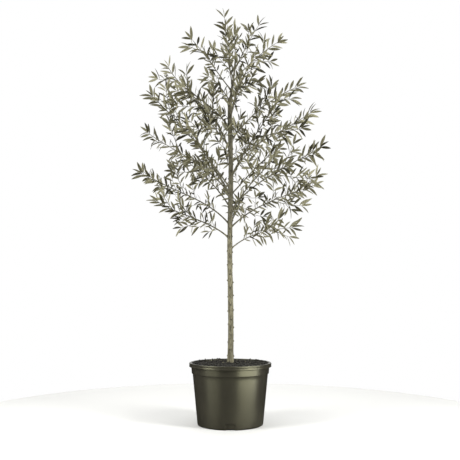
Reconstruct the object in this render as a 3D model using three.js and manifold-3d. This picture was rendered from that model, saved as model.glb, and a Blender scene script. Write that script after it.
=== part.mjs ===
// A young olive tree grown as a standard, in a black nursery container.
// Millimetres, +Z up. The origin is the middle of the container's flat underside.
// +X is right and -Y is the front.
// Angles are in degrees. A bearing is counted from +X towards +Y, and a rise from the level.

import * as THREE from "three";
import { mergeVertices } from "three/addons/utils/BufferGeometryUtils.js";
import Module from "manifold-3d";

const wasm = await Module();
wasm.setup();

const GAP = 0.3; // between one solid and the next
const SEED = 35;

// ---- driving dimensions: container ----

const POT = {
  height: 272.5,
  lipRadius: 185, // the widest, round the lip
  lipFoot: 256.5,
  lipEdge: 3, // bevel of the lip's two outer edges
  bandTopRadius: 176.2, // the plain band under the lip
  bandFootRadius: 172.4,
  bodyTopRadius: 169.6,
  bandFoot: 226,
  bandStep: 1, // height of the step from the body out to the band
  baseRadius: 146,
  wall: 3.2,
  floor: 5,
  edge: 4, // rounding of the bottom edge
  segments: 32,
};
const DRAIN = { count: 3, width: 44, height: 26, depth: 3.4, slotWidth: 30, slotHeight: 6, footWall: 8 };

// ---- driving dimensions: soil ----

const SOIL = { middle: 270, edge: 264, brow: 150, seat: 30 };

// ---- driving dimensions: trunk ----

const TRUNK = {
  foot: SOIL.middle + GAP,
  heading: 1490, // where the main stem was once cut back, and the slimmer leader takes over
  headingBlend: 55,
  tip: 1684,
  footRadius: 12.8,
  headingRadius: 10.2,
  leaderRadius: 5.2,
  tipRadius: 3.9,
  flare: 4.6,
  flareHeight: 17,
  sway: 2.4,
  swayPitch: 690,
  lean: 23, // of the leader, to the right
  rings: 19,
  ringCrowding: 1.35, // over 1, the rings lie closer together towards the foot
  sides: 12,
};

// ---- driving dimensions: boughs ----

const BOUGH = {
  footRadius: 3.7,
  tipRadius: 1.5,
  taper: 0.8, // under 1, the radius falls off faster near the foot
  collar: 2.2, // swelling where the bough leaves the trunk
  collarLength: 9,
  slimLength: 320, // boughs shorter than this are slimmer by slimShare
  slimShare: 0.8,
  sides: 5,
  stepLength: 36,
  sway: 9, // the most that the bearing swings to one side and back
};

// foot: height of the fork on the trunk. rises: at the foot, the middle and the tip.
// bare: share of the length with no foliage. Where it is 0, the foliage starts on the trunk.
const BOUGHS = [
  { name: "right_1", foot: 780, bearing: -10, length: 282, rises: [44, 18, 6], bare: 0.42 },
  { name: "right_2", foot: 880, bearing: 20, length: 470, rises: [46, 25, 21], bare: 0.3 },
  { name: "right_3", foot: 959, bearing: -25, length: 486, rises: [54, 27, 24], bare: 0.3 },
  { name: "right_4", foot: 1036, bearing: 42, length: 390, rises: [38, 42, 34], bare: 0.32 },
  { name: "right_5", foot: 1186, bearing: 10, length: 436, rises: [42, 31, 34], bare: 0.26 },
  { name: "right_6", foot: 1287, bearing: -15, length: 372, rises: [51, 38, 24], bare: 0.28 },
  { name: "right_7", foot: 1492, bearing: -42, length: 120, rises: [44, 30, 18], bare: 0 },
  { name: "right_8", foot: 1577, bearing: 15, length: 284, rises: [50, 45, 36], bare: 0.3 },
  { name: "left_1", foot: 832, bearing: 190, length: 345, rises: [44, 21, 28], bare: 0.32 },
  { name: "left_2", foot: 895, bearing: 165, length: 486, rises: [52, 26, 35], bare: 0.3 },
  { name: "left_3", foot: 975, bearing: 138, length: 440, rises: [50, 40, 36], bare: 0.3 },
  { name: "left_4", foot: 1062, bearing: 202, length: 522, rises: [54, 47, 38], bare: 0.3 },
  { name: "left_5", foot: 1030, bearing: 158, length: 530, rises: [56, 34, 35], bare: 0.3 },
  { name: "left_6", foot: 1343, bearing: 176, length: 404, rises: [62, 38, 58], bare: 0.26 },
  { name: "left_7", foot: 1478, bearing: 222, length: 140, rises: [52, 40, 16], bare: 0 },
  { name: "left_8", foot: 1532, bearing: 185, length: 280, rises: [50, 54, 50], bare: 0.3 },
  { name: "front_1", foot: 936, bearing: -62, length: 420, rises: [48, 24, 22], bare: 0.32 },
  { name: "front_2", foot: 1020, bearing: 243, length: 440, rises: [50, 30, 26], bare: 0.3 },
  { name: "front_3", foot: 1118, bearing: -58, length: 430, rises: [48, 34, 28], bare: 0.3 },
  { name: "front_4", foot: 1232, bearing: 236, length: 390, rises: [46, 32, 24], bare: 0.3 },
  { name: "front_5", foot: 1385, bearing: -66, length: 320, rises: [52, 42, 34], bare: 0.28 },
  { name: "front_6", foot: 1556, bearing: 262, length: 200, rises: [54, 50, 44], bare: 0 },
  { name: "back_1", foot: 888, bearing: 82, length: 400, rises: [46, 22, 22], bare: 0.32 },
  { name: "back_2", foot: 1012, bearing: 110, length: 456, rises: [50, 30, 28], bare: 0.3 },
  { name: "back_3", foot: 1112, bearing: 62, length: 460, rises: [48, 34, 30], bare: 0.3 },
  { name: "back_4", foot: 1248, bearing: 118, length: 410, rises: [50, 38, 34], bare: 0.3 },
  { name: "back_5", foot: 1415, bearing: 78, length: 330, rises: [54, 44, 40], bare: 0.28 },
  { name: "back_6", foot: 1592, bearing: 104, length: 210, rises: [54, 50, 46], bare: 0 },
  { name: "leader_right", foot: 1637, bearing: 8, length: 222, rises: [62, 64, 58], bare: 0 },
  { name: "leader_left", foot: 1628, bearing: 192, length: 236, rises: [60, 82, 84], bare: 0 },
  { name: "leader_middle", foot: TRUNK.tip + GAP, bearing: 95, length: 130, rises: [84, 78, 72], bare: 0 },
];

// ---- driving dimensions: foliage ----

const SHOOT = {
  spacing: 84, // of the side shoots along the leafy part of a bough
  fewest: 3,
  first: 0.06, // share of the leafy part before the first one
  last: 0.9,
  stray: 0.6, // of one spacing, the most that a shoot stands further out than its turn
  turn: 137.5, // how far round the stem each shoot is from the one before
  turnStray: 40,
  turnPerBough: 70,
  spreadFoot: 50, // angle off the stem, for the first shoot and the last
  spreadTip: 34,
  lengthFoot: 0.46, // as a share of the bough's length, for the first shoot and the last
  lengthTip: 0.17,
  shortest: 0.7, // of that length
  longest: 1.2,
  leastBough: 250, // shorter boughs have the shoots of one this long
  lift: 9, // how much a shoot turns up by its tip
  footRadius: 1.9,
  tipRadius: 1.1,
  sides: 3,
  steps: 2,
  free: 0.1, // share at its root where a shoot may be close to other limbs
};
const STEM = { sides: 3, stepLength: 64 };
const LEAF = {
  length: 94,
  width: 24,
  thickness: 3.2,
  arch: 5,
  spread: 42,
  round: 90, // from one pair to the next
  roundStray: 25,
  roll: 65, // the most that a blade is turned about its own length
  onShoot: [0.46, 0.8], // where the pairs stand, as shares of the shoot
  onStem: [0.8],
  pairSize: 0.92,
  endSize: 0.9,
  endRoot: 0.97,
  clear: 0.8,
  ownSpace: 1.1, // how many times further its own bough may be from a leaf's tip than another bough is
};

const COLOURS = {
  container: { color: 0x35342c, roughness: 0.42 },
  soil: { color: 0x3a352d, roughness: 0.95 },
  bark: { color: 0x8b8672, roughness: 0.85 },
  leaf: { color: 0x8a8a70, roughness: 0.6 },
};

// ---- numbers and directions ----

const radians = THREE.MathUtils.degToRad;
const degrees = THREE.MathUtils.radToDeg;
const between = THREE.MathUtils.lerp;
const point = (x, y, z) => new THREE.Vector3(x, y, z);

// A number from 0 to 1 that is always the same for the same limb, shoot, leaf and draw.
function chance(limb, shoot, leaf, draw) {
  const wave = Math.sin(SEED + 12.9898 * limb + 78.233 * shoot + 37.719 * leaf + 4.581 * draw) * 43758.5453;
  return wave - Math.floor(wave);
}

// The unit vectors of what runs on a bearing and a rise: along it, level across it, and up from it.
function frameOf(bearing, rise) {
  const [b, r] = [radians(bearing), radians(rise)];
  return {
    along: point(Math.cos(r) * Math.cos(b), Math.cos(r) * Math.sin(b), Math.sin(r)),
    across: point(-Math.sin(b), Math.cos(b), 0),
    lift: point(-Math.sin(r) * Math.cos(b), -Math.sin(r) * Math.sin(b), Math.cos(r)),
  };
}

// The direction that leaves a frame's axis by an angle, on the side that a roll round the axis gives.
function branchOff(frame, spread, roll) {
  const side = frame.across
    .clone()
    .multiplyScalar(Math.cos(radians(roll)))
    .addScaledVector(frame.lift, Math.sin(radians(roll)));
  return frame.along
    .clone()
    .multiplyScalar(Math.cos(radians(spread)))
    .addScaledVector(side, Math.sin(radians(spread)));
}

const bearingOf = (direction) => degrees(Math.atan2(direction.y, direction.x));
const riseOf = (direction) => degrees(Math.asin(THREE.MathUtils.clamp(direction.z, -1, 1)));

// The value at a share of the way, on the parabola through its values at the start, the middle and the end.
function bow([start, middle, end], share) {
  const quarter = 2 * (start + end - 2 * middle);
  return start + share * (end - start - quarter + quarter * share);
}

// A limb's axis. From its start it follows a rise that bows and a bearing that sways to one side and back.
class Axis {
  static STEPS = 24;

  constructor(start, bearing, rises, length, sway) {
    Object.assign(this, { bearing, rises, length, sway });
    this.points = [start];
    for (let i = 0; i < Axis.STEPS; i++) {
      const { along } = this.frame((i + 0.5) / Axis.STEPS);
      this.points.push(this.points[i].clone().addScaledVector(along, length / Axis.STEPS));
    }
  }

  frame(share) {
    return frameOf(this.bearing + this.sway * Math.cos(Math.PI * share), bow(this.rises, share));
  }

  at(share) {
    const step = THREE.MathUtils.clamp(share, 0, 1) * Axis.STEPS;
    const i = Math.min(Math.floor(step), Axis.STEPS - 1);
    return this.points[i].clone().lerp(this.points[i + 1], step - i);
  }
}

// ---- solids ----

function solidOf(geometry) {
  const bare = new THREE.BufferGeometry().setAttribute("position", geometry.getAttribute("position"));
  const merged = mergeVertices(bare.setIndex(geometry.index), 1e-4);
  const mesh = { numProp: 3, vertProperties: merged.attributes.position.array, triVerts: merged.index.array };
  return new wasm.Manifold(new wasm.Mesh({ ...mesh, triVerts: new Uint32Array(mesh.triVerts) }));
}

function geometryOf(solid) {
  const mesh = solid.getMesh();
  const geometry = new THREE.BufferGeometry();
  geometry.setAttribute("position", new THREE.BufferAttribute(new Float32Array(mesh.vertProperties), 3));
  geometry.setIndex(new THREE.BufferAttribute(new Uint32Array(mesh.triVerts), 1));
  return geometry;
}

function largest(solid) {
  return solid.decompose().reduce((best, piece) => (piece.volume() > best.volume() ? piece : best));
}

// Moves every vertex of a geometry to where a function puts it.
function reshape(geometry, place) {
  const positions = geometry.getAttribute("position");
  for (let i = 0; i < positions.count; i++) {
    const moved = place(positions.getX(i), positions.getY(i), positions.getZ(i));
    positions.setXYZ(i, moved.x, moved.y, moved.z);
  }
  return geometry;
}

// A closed tapering tube: a many-sided bar carried along part of an axis.
function tube(axis, from, to, radiusAt, sides, steps) {
  const corners = [];
  for (let i = 0; i < sides; i++) {
    const turn = (2 * Math.PI * i) / sides;
    corners.push(new THREE.Vector2(Math.sin(turn), -Math.cos(turn)));
  }
  const bar = new THREE.ExtrudeGeometry(new THREE.Shape(corners), { depth: 1, steps, bevelEnabled: false });
  return solidOf(
    reshape(bar, (x, y, z) => {
      const share = between(from, to, z);
      const { across, lift } = axis.frame(share);
      const radius = radiusAt(share);
      return axis
        .at(share)
        .addScaledVector(across, x * radius)
        .addScaledVector(lift, y * radius);
    }),
  );
}

// A solid of revolution about +Z from an outline of [radius, height] pairs.
function turned(outline, segments) {
  const lathe = new THREE.LatheGeometry(
    outline.map(([radius, height]) => new THREE.Vector2(radius, height)),
    segments,
  );
  return lathe.rotateX(Math.PI / 2);
}

// ---- container and soil ----

function potWall(height) {
  const { baseRadius, bodyTopRadius, bandFoot } = POT;
  return between(baseRadius, bodyTopRadius, height / bandFoot);
}

function potOutline() {
  const p = POT;
  const outside = [
    [0, 0],
    [p.baseRadius - p.edge, 0],
    [potWall(p.edge), p.edge],
    [potWall(DRAIN.height), DRAIN.height],
    [p.bodyTopRadius, p.bandFoot - p.bandStep],
    [p.bandFootRadius, p.bandFoot],
    [p.bandTopRadius, p.lipFoot - p.bandStep],
    [p.lipRadius - p.lipEdge, p.lipFoot],
    [p.lipRadius, p.lipFoot + p.lipEdge],
    [p.lipRadius, p.height - p.lipEdge],
    [p.lipRadius - p.lipEdge, p.height],
  ];
  const inside = [
    [p.bandTopRadius - p.wall, p.height],
    [p.bandTopRadius - p.wall, p.lipFoot],
    [p.bodyTopRadius - p.wall, p.bandFoot - p.bandStep],
    [potWall(p.floor) - DRAIN.footWall, p.floor],
    [0, p.floor],
  ];
  return [...outside, ...inside];
}

// A block that lies across the wall on a bearing, from the ground up.
function wallCut(bearing, width, height, inner, outer) {
  const block = new THREE.BoxGeometry(outer - inner, width, height);
  block.translate((inner + outer) / 2, 0, height / 2 - 1);
  return solidOf(block.rotateZ(radians(bearing)));
}

function makePot() {
  let pot = solidOf(turned(potOutline(), POT.segments));
  for (let i = 0; i < DRAIN.count; i++) {
    const bearing = -90 + (360 * i) / DRAIN.count;
    const face = potWall(0) - DRAIN.depth;
    pot = pot.subtract(wallCut(bearing, DRAIN.width, DRAIN.height, face, POT.lipRadius));
    pot = pot.subtract(wallCut(bearing, DRAIN.slotWidth, DRAIN.slotHeight, face - POT.wall, POT.lipRadius));
  }
  return pot;
}

function makeSoil() {
  const p = POT;
  const inset = p.wall + GAP;
  const outline = [
    [0, p.floor + GAP],
    [potWall(p.floor) - DRAIN.footWall - GAP, p.floor + GAP],
    [p.bodyTopRadius - inset, p.bandFoot - p.bandStep],
    [p.bandTopRadius - inset, p.lipFoot],
    [p.bandTopRadius - inset, SOIL.edge],
    [SOIL.brow, between(SOIL.edge, SOIL.middle, 0.6)],
    [SOIL.seat, SOIL.middle],
    [0, SOIL.middle],
  ];
  return solidOf(turned(outline, p.segments));
}

// ---- trunk ----

const smooth = THREE.MathUtils.smoothstep;

function trunkRadius(height) {
  const t = TRUNK;
  const main = between(t.footRadius, t.headingRadius, (height - t.foot) / (t.heading - t.foot));
  const leader = between(t.leaderRadius, t.tipRadius, (height - t.heading) / (t.tip - t.heading));
  const headed = smooth(height, t.heading - t.headingBlend / 2, t.heading + t.headingBlend / 2);
  return between(main, leader, headed) + t.flare * Math.exp(-(height - t.foot) / t.flareHeight);
}

// The middle of the trunk at a height.
function trunkAxis(height) {
  const turn = (2 * Math.PI * (height - TRUNK.foot)) / TRUNK.swayPitch;
  const lean = TRUNK.lean * smooth(height, TRUNK.heading - TRUNK.headingBlend, TRUNK.tip);
  return point(TRUNK.sway * Math.sin(turn) + lean, TRUNK.sway * (Math.cos(turn) - 1), height);
}

// The trunk, grown by a margin.
function makeTrunk(margin) {
  const t = TRUNK;
  const outline = [[0, t.foot - margin]];
  for (let i = 0; i <= t.rings; i++) {
    const height = between(t.foot, t.tip, Math.pow(i / t.rings, t.ringCrowding));
    const end = i === 0 ? -margin : i === t.rings ? margin : 0;
    outline.push([trunkRadius(height) + margin, height + end]);
  }
  outline.push([0, t.tip + margin]);
  return solidOf(
    reshape(turned(outline, t.sides), (x, y, z) => {
      const middle = trunkAxis(z);
      return point(x + middle.x, y + middle.y, z);
    }),
  );
}

// ---- limbs ----

function boughAxis(bough, index) {
  const sway = BOUGH.sway * (2 * chance(index, 0, 0, 1) - 1);
  return new Axis(trunkAxis(bough.foot), bough.bearing, bough.rises, bough.length, sway);
}

function boughRadius(axis, share) {
  const taper = between(BOUGH.footRadius, BOUGH.tipRadius, Math.pow(share, BOUGH.taper));
  const slim = axis.length < BOUGH.slimLength ? BOUGH.slimShare : 1;
  const outside = Math.max(0, share * axis.length - TRUNK.headingRadius);
  return taper * slim + BOUGH.collar * Math.exp(-outside / BOUGH.collarLength);
}

// The axes of the side shoots on the leafy part of a bough.
function shootAxes(bough, index, axis) {
  const s = SHOOT;
  const leafy = axis.length * (1 - bough.bare);
  const count = Math.max(s.fewest, Math.round(leafy / s.spacing));
  const axes = [];
  for (let i = 0; i < count; i++) {
    const onward = between(s.first, s.last, (i + s.stray * chance(index, i, 0, 2)) / count);
    const share = between(bough.bare, 1, onward);
    const turn = s.turn * i + s.turnStray * chance(index, i, 0, 3) + s.turnPerBough * index;
    const direction = branchOff(axis.frame(share), between(s.spreadFoot, s.spreadTip, onward), turn);
    const size = between(s.lengthFoot, s.lengthTip, onward) * Math.max(axis.length, s.leastBough);
    const length = size * between(s.shortest, s.longest, chance(index, i, 0, 4));
    const rise = riseOf(direction);
    const rises = [rise, rise + s.lift / 2, rise + s.lift];
    axes.push(new Axis(axis.at(share), bearingOf(direction), rises, length, 0));
  }
  return axes;
}

// ---- leaves ----

// The leaves of one shoot: pairs on opposite sides, each pair a quarter turn round from the one before,
// and one that ends the shoot.
function leavesOn(axis, shares, index, shoot) {
  const rollOf = (leaf, draw) => LEAF.roll * (2 * chance(index, shoot, leaf, draw) - 1);
  const leaves = [];
  shares.forEach((share, i) => {
    const stray = LEAF.roundStray * (2 * chance(index, shoot, i, 5) - 1);
    for (const side of [0, 1]) {
      const round = LEAF.round * (shoot + i) + 180 * side + stray;
      const direction = branchOff(axis.frame(share), LEAF.spread, round);
      leaves.push(leafFrom(axis.at(share), direction, LEAF.pairSize, rollOf(i, 6 + side)));
    }
  });
  leaves.push(leafFrom(axis.at(LEAF.endRoot), axis.frame(1).along, LEAF.endSize, rollOf(0, 8)));
  return leaves;
}

function leafFrom(root, direction, size, roll) {
  const length = LEAF.length * size;
  return { root, direction, length, roll, tip: root.clone().addScaledVector(direction, length) };
}

// A leaf is an octahedron drawn out from root to tip, with its middle raised into an arch.
function leafSolid(leaf) {
  const frame = frameOf(bearingOf(leaf.direction), riseOf(leaf.direction));
  const [across, lift] = [branchOff(frame, 90, leaf.roll), branchOff(frame, 90, leaf.roll + 90)];
  return solidOf(
    reshape(new THREE.OctahedronGeometry(1), (x, y, z) =>
      leaf.root
        .clone()
        .addScaledVector(leaf.direction, (leaf.length * (x + 1)) / 2)
        .addScaledVector(across, (LEAF.width / 2) * y)
        .addScaledVector(lift, (LEAF.thickness / 2) * z + LEAF.arch * (1 - x * x)),
    ),
  );
}

// ---- room: what a new twig or leaf has to keep clear of ----

// The shortest distance between two stretches, each from a to b.
function distance(one, other) {
  const u = one.b.clone().sub(one.a);
  const v = other.b.clone().sub(other.a);
  const w = one.a.clone().sub(other.a);
  const [uu, uv, vv, uw, vw] = [u.dot(u), u.dot(v), v.dot(v), u.dot(w), v.dot(w)];
  const clamp = (x) => THREE.MathUtils.clamp(x, 0, 1);
  const cross = uu * vv - uv * uv;
  let s = cross > 1e-9 ? clamp((uv * vw - vv * uw) / cross) : 0;
  const t = clamp((uv * s + vw) / vv);
  s = clamp((uv * t - uw) / uu);
  return w.addScaledVector(u, s).addScaledVector(v, -t).length();
}

const ROOM_STEP = 40; // length of the stretches that stand in for a curved limb
const taken = [];
const take = (owner, a, b, radius) => taken.push({ owner, a, b, radius });

function takeAxis(owner, axis, from, to, radius) {
  const steps = Math.max(1, Math.round(((to - from) * axis.length) / ROOM_STEP));
  for (let i = 0; i < steps; i++) {
    take(owner, axis.at(between(from, to, i / steps)), axis.at(between(from, to, (i + 1) / steps)), radius);
  }
}

const isClear = (stretch, owner) =>
  taken.every((t) => t.owner === owner || distance(stretch, t) > t.radius + stretch.radius + LEAF.clear);

// Whether a point is nearer to its own bough than to any other.
function inOwnSpace(place, index, axes) {
  const here = { a: place, b: place.clone().addScalar(0.01) };
  const reach = (axis) => {
    let nearest = Infinity;
    for (let i = 0; i < Axis.STEPS; i += 2) {
      nearest = Math.min(nearest, distance(here, { a: axis.points[i], b: axis.points[i + 2] }));
    }
    return nearest;
  };
  const own = reach(axes[index]);
  return axes.every((axis, i) => i === index || reach(axis) * LEAF.ownSpace > own);
}

// ---- the tree ----

const group = new THREE.Group();

function add(name, solid, look) {
  const mesh = new THREE.Mesh(geometryOf(solid), new THREE.MeshStandardMaterial({ ...look, metalness: 0 }));
  mesh.name = name;
  group.add(mesh);
}

// One mass of foliage: its stem, the shoots that found room, and their leaves, fused.
function makeFoliage(bough, index, axis, shoots, axes) {
  const owner = "foliage_" + bough.name;
  const start = bough.bare > 0 ? bough.bare + GAP / axis.length : 0;
  const stemSteps = Math.ceil((axis.length * (1 - start)) / STEM.stepLength);
  const pieces = [tube(axis, start, 1, (share) => boughRadius(axis, share), STEM.sides, stemSteps)];
  const leaves = [];
  shoots.forEach((shoot, i) => {
    const radiusAt = (share) => between(SHOOT.footRadius, SHOOT.tipRadius, share);
    const stretch = { a: shoot.at(SHOOT.free), b: shoot.at(1), radius: SHOOT.footRadius };
    if (!isClear(stretch, owner) || !inOwnSpace(stretch.b, index, axes)) return;
    pieces.push(tube(shoot, 0, 1, radiusAt, SHOOT.sides, SHOOT.steps));
    takeAxis(owner, shoot, 0, 1, SHOOT.footRadius);
    leaves.push(...leavesOn(shoot, LEAF.onShoot, index, i));
  });
  leaves.push(...leavesOn(axis, LEAF.onStem, index, shoots.length));
  for (const leaf of leaves) {
    const stretch = { a: leaf.root, b: leaf.tip, radius: LEAF.width / 2 };
    if (!isClear(stretch, owner) || !inOwnSpace(leaf.tip, index, axes)) continue;
    pieces.push(leafSolid(leaf));
    take(owner, leaf.root, leaf.tip, LEAF.width / 2);
  }
  return wasm.Manifold.union(pieces);
}

add("pot", makePot(), COLOURS.container);
add("soil", makeSoil(), COLOURS.soil);
add("trunk", makeTrunk(0), COLOURS.bark);
const trunkRoom = makeTrunk(GAP);

const axes = BOUGHS.map(boughAxis);
for (let height = TRUNK.foot; height < TRUNK.tip; height += ROOM_STEP) {
  take("trunk", trunkAxis(height), trunkAxis(Math.min(height + ROOM_STEP, TRUNK.tip)), trunkRadius(height));
}
BOUGHS.forEach((bough, i) => takeAxis("foliage_" + bough.name, axes[i], 0, 1, BOUGH.footRadius));

const shootsOf = BOUGHS.map((bough, i) => shootAxes(bough, i, axes[i]));
BOUGHS.forEach((bough, i) => {
  if (bough.bare > 0) {
    const steps = Math.ceil((bough.bare * bough.length) / BOUGH.stepLength);
    const limb = tube(axes[i], 0, bough.bare, (share) => boughRadius(axes[i], share), BOUGH.sides, steps);
    add("bough_" + bough.name, largest(limb.subtract(trunkRoom)), COLOURS.bark);
  }
  const foliage = makeFoliage(bough, i, axes[i], shootsOf[i], axes);
  add("foliage_" + bough.name, largest(foliage.subtract(trunkRoom)), COLOURS.leaf);
});

export default group;
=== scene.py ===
"""Dresses a young olive tree, grown as a standard in a black nursery container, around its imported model."""

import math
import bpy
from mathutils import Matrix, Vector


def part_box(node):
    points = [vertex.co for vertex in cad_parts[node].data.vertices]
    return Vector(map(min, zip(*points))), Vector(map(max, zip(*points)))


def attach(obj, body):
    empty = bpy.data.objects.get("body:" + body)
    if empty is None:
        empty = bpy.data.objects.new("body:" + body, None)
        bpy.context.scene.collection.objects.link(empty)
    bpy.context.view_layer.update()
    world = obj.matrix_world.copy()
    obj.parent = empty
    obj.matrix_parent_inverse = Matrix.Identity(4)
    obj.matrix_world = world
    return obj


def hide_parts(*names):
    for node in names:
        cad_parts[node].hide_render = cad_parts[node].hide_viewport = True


bl_info = {
    "name": "Potted Olive Tree",
    "version": (1, 0, 0),
    "blender": (4, 5, 0),
    "location": "View3D > Sidebar > Olive Tree",
    "description": "Builds a potted olive tree: container, soil, bark, twigs, leaves and a plain stage",
    "category": "Add Mesh",
}

from typing import NamedTuple

import bpy
import numpy as np
from bpy.props import FloatProperty, FloatVectorProperty, IntProperty, PointerProperty
from bpy.types import Operator, Panel, PropertyGroup

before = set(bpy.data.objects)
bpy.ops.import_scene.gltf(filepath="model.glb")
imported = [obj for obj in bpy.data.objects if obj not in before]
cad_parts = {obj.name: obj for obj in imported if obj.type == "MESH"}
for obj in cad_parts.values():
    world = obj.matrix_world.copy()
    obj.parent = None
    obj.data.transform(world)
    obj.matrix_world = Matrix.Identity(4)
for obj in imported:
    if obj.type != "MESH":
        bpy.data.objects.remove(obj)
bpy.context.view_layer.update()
POT_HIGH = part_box("pot")[1]
SOIL_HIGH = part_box("soil")[1]
TRUNK_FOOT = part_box("trunk")[0].z
TRUNK_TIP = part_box("trunk")[1].z

SEED = 35


class Bough(NamedTuple):
    """One main limb. Lengths are in metres and angles in degrees."""

    name: str
    fork: float  # the height at which it leaves the trunk
    bearing: float  # from +X towards +Y
    length: float
    rises: tuple  # at its foot, its middle and its tip
    bare: float  # the share of its length that bears no shoots


BOUGHS = (
    Bough("right_1", 0.780, -10, 0.282, (44, 18, 6), 0.42),
    Bough("right_2", 0.880, 20, 0.470, (46, 25, 21), 0.3),
    Bough("right_3", 0.959, -25, 0.486, (54, 27, 24), 0.3),
    Bough("right_4", 1.036, 42, 0.390, (38, 42, 34), 0.32),
    Bough("right_5", 1.186, 10, 0.436, (42, 31, 34), 0.26),
    Bough("right_6", 1.287, -15, 0.372, (51, 38, 24), 0.28),
    Bough("right_7", 1.492, -42, 0.120, (44, 30, 18), 0),
    Bough("right_8", 1.577, 15, 0.284, (50, 45, 36), 0.3),
    Bough("left_1", 0.832, 190, 0.345, (44, 21, 28), 0.32),
    Bough("left_2", 0.895, 165, 0.486, (52, 26, 35), 0.3),
    Bough("left_3", 0.975, 138, 0.440, (50, 40, 36), 0.3),
    Bough("left_4", 1.062, 202, 0.522, (54, 47, 38), 0.3),
    Bough("left_5", 1.030, 158, 0.530, (56, 34, 35), 0.3),
    Bough("left_6", 1.343, 176, 0.404, (62, 38, 58), 0.26),
    Bough("left_7", 1.478, 222, 0.140, (52, 40, 16), 0),
    Bough("left_8", 1.532, 185, 0.280, (50, 54, 50), 0.3),
    Bough("front_1", 0.936, -62, 0.420, (48, 24, 22), 0.32),
    Bough("front_2", 1.020, 243, 0.440, (50, 30, 26), 0.3),
    Bough("front_3", 1.118, -58, 0.430, (48, 34, 28), 0.3),
    Bough("front_4", 1.232, 236, 0.390, (46, 32, 24), 0.3),
    Bough("front_5", 1.385, -66, 0.320, (52, 42, 34), 0.28),
    Bough("front_6", 1.556, 262, 0.200, (54, 50, 44), 0),
    Bough("back_1", 0.888, 82, 0.400, (46, 22, 22), 0.32),
    Bough("back_2", 1.012, 110, 0.456, (50, 30, 28), 0.3),
    Bough("back_3", 1.112, 62, 0.460, (48, 34, 30), 0.3),
    Bough("back_4", 1.248, 118, 0.410, (50, 38, 34), 0.3),
    Bough("back_5", 1.415, 78, 0.330, (54, 44, 40), 0.28),
    Bough("back_6", 1.592, 104, 0.210, (54, 50, 46), 0),
    Bough("leader_right", 1.637, 8, 0.222, (62, 64, 58), 0),
    Bough("leader_left", 1.628, 192, 0.236, (60, 82, 84), 0),
    Bough("leader_middle", TRUNK_TIP, 95, 0.130, (84, 78, 72), 0),
)
BOUGH_SWAY = 9  # degrees
BOUGH_FOOT_RADIUS, BOUGH_TIP_RADIUS, BOUGH_TAPER = 0.0037, 0.0015, 0.8
BOUGH_COLLAR, BOUGH_COLLAR_LENGTH = 0.0022, 0.009
SLIM_LENGTH, SLIM_SHARE = 0.320, 0.8

TRUNK_HEADING, HEADING_BLEND = 1.490, 0.055
TRUNK_FOOT_RADIUS, TRUNK_HEADING_RADIUS = 0.0128, 0.0102
LEADER_RADIUS, LEADER_TIP_RADIUS = 0.0052, 0.0039
FLARE, FLARE_HEIGHT = 0.0046, 0.017
TRUNK_SWAY, TRUNK_SWAY_PITCH, TRUNK_LEAN = 0.0024, 0.690, 0.023

TWIGGY_LENGTH = 0.105  # the least length of a shoot that bears twigs
SPURRED_LENGTH = 0.25  # the least length of a bough that bears spurs
INNER_BARE = 0.6  # of a bough's bare share, the part that bears no leaf or spur at all
LEAST_BARE = 0.1  # the share without leaves of a bough that is leafy all along
OWN_SPACE = 1.1  # how many times further its own bough may be from a shoot's tip than another bough is
LOW_CROWN, HIGH_CROWN, UPPER_CROWN = 0.80, 0.96, 1.12  # heights of forks
LOW_SPURS, HIGH_SPURS = 2.2, 0.3  # spurs, in times the rule's, below LOW_CROWN and over HIGH_CROWN
# The share of them on boughs that face front or back, below HIGH_CROWN and over UPPER_CROWN.
HIGH_FACING, UPPER_FACING = 0.3, 3.0
SPRIGGED = (1.14, 1.44)  # heights between which short sprigs stand on the trunk itself
TIP_GROWTH = 0.028  # how far limbs run on as fine twigs, where the solids end in one large leaf


class SproutRule(NamedTuple):
    """How side shoots stand on their parents, and what they are like. Degrees and metres."""

    spacing: float  # along the leafy part of the parent
    fewest: int
    first: float  # share of the leafy part before the first shoot
    last: float
    stray: float  # of one spacing, the most that a shoot stands further out than its turn
    turn: float  # how far round the parent each shoot is from the one before
    turn_stray: float
    turn_per_parent: float
    spread_foot: float  # angle off the parent, for the first shoot and the last
    spread_tip: float
    length_foot: float  # as a share of the parent's length, for the first shoot and the last
    length_tip: float
    shortest: float  # of that length
    longest: float
    least_parent: float  # shorter parents have the shoots of one this long
    lift: float  # how much a shoot turns up by its tip
    bare: float  # the share of a shoot that bears no leaves
    foot_radius: float
    tip_radius: float
    leaf_size: float  # as a share of the full size
    draw: int  # the first of the random draws that the rule uses


GOLDEN_TURN = 137.5
MAIN_SHOOTS = SproutRule(
    spacing=0.084,
    fewest=3,
    first=0.06,
    last=0.9,
    stray=0.6,
    turn=GOLDEN_TURN,
    turn_stray=40,
    turn_per_parent=70,
    spread_foot=50,
    spread_tip=34,
    length_foot=0.46,
    length_tip=0.17,
    shortest=0.7,
    longest=1.2,
    least_parent=0.25,
    lift=9,
    bare=0.1,
    foot_radius=0.0019,
    tip_radius=0.0009,
    leaf_size=1.0,
    draw=2,
)
SPUR_SHOOTS = MAIN_SHOOTS._replace(
    spacing=0.050,
    fewest=2,
    first=0.0,
    last=0.72,
    stray=0.5,
    turn_stray=60,
    turn_per_parent=115,
    spread_foot=56,
    spread_tip=42,
    length_foot=0.16,
    length_tip=0.09,
    shortest=0.6,
    least_parent=0.3,
    lift=14,
    bare=0.12,
    foot_radius=0.0012,
    tip_radius=0.0008,
    leaf_size=0.82,
    draw=70,
)
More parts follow.
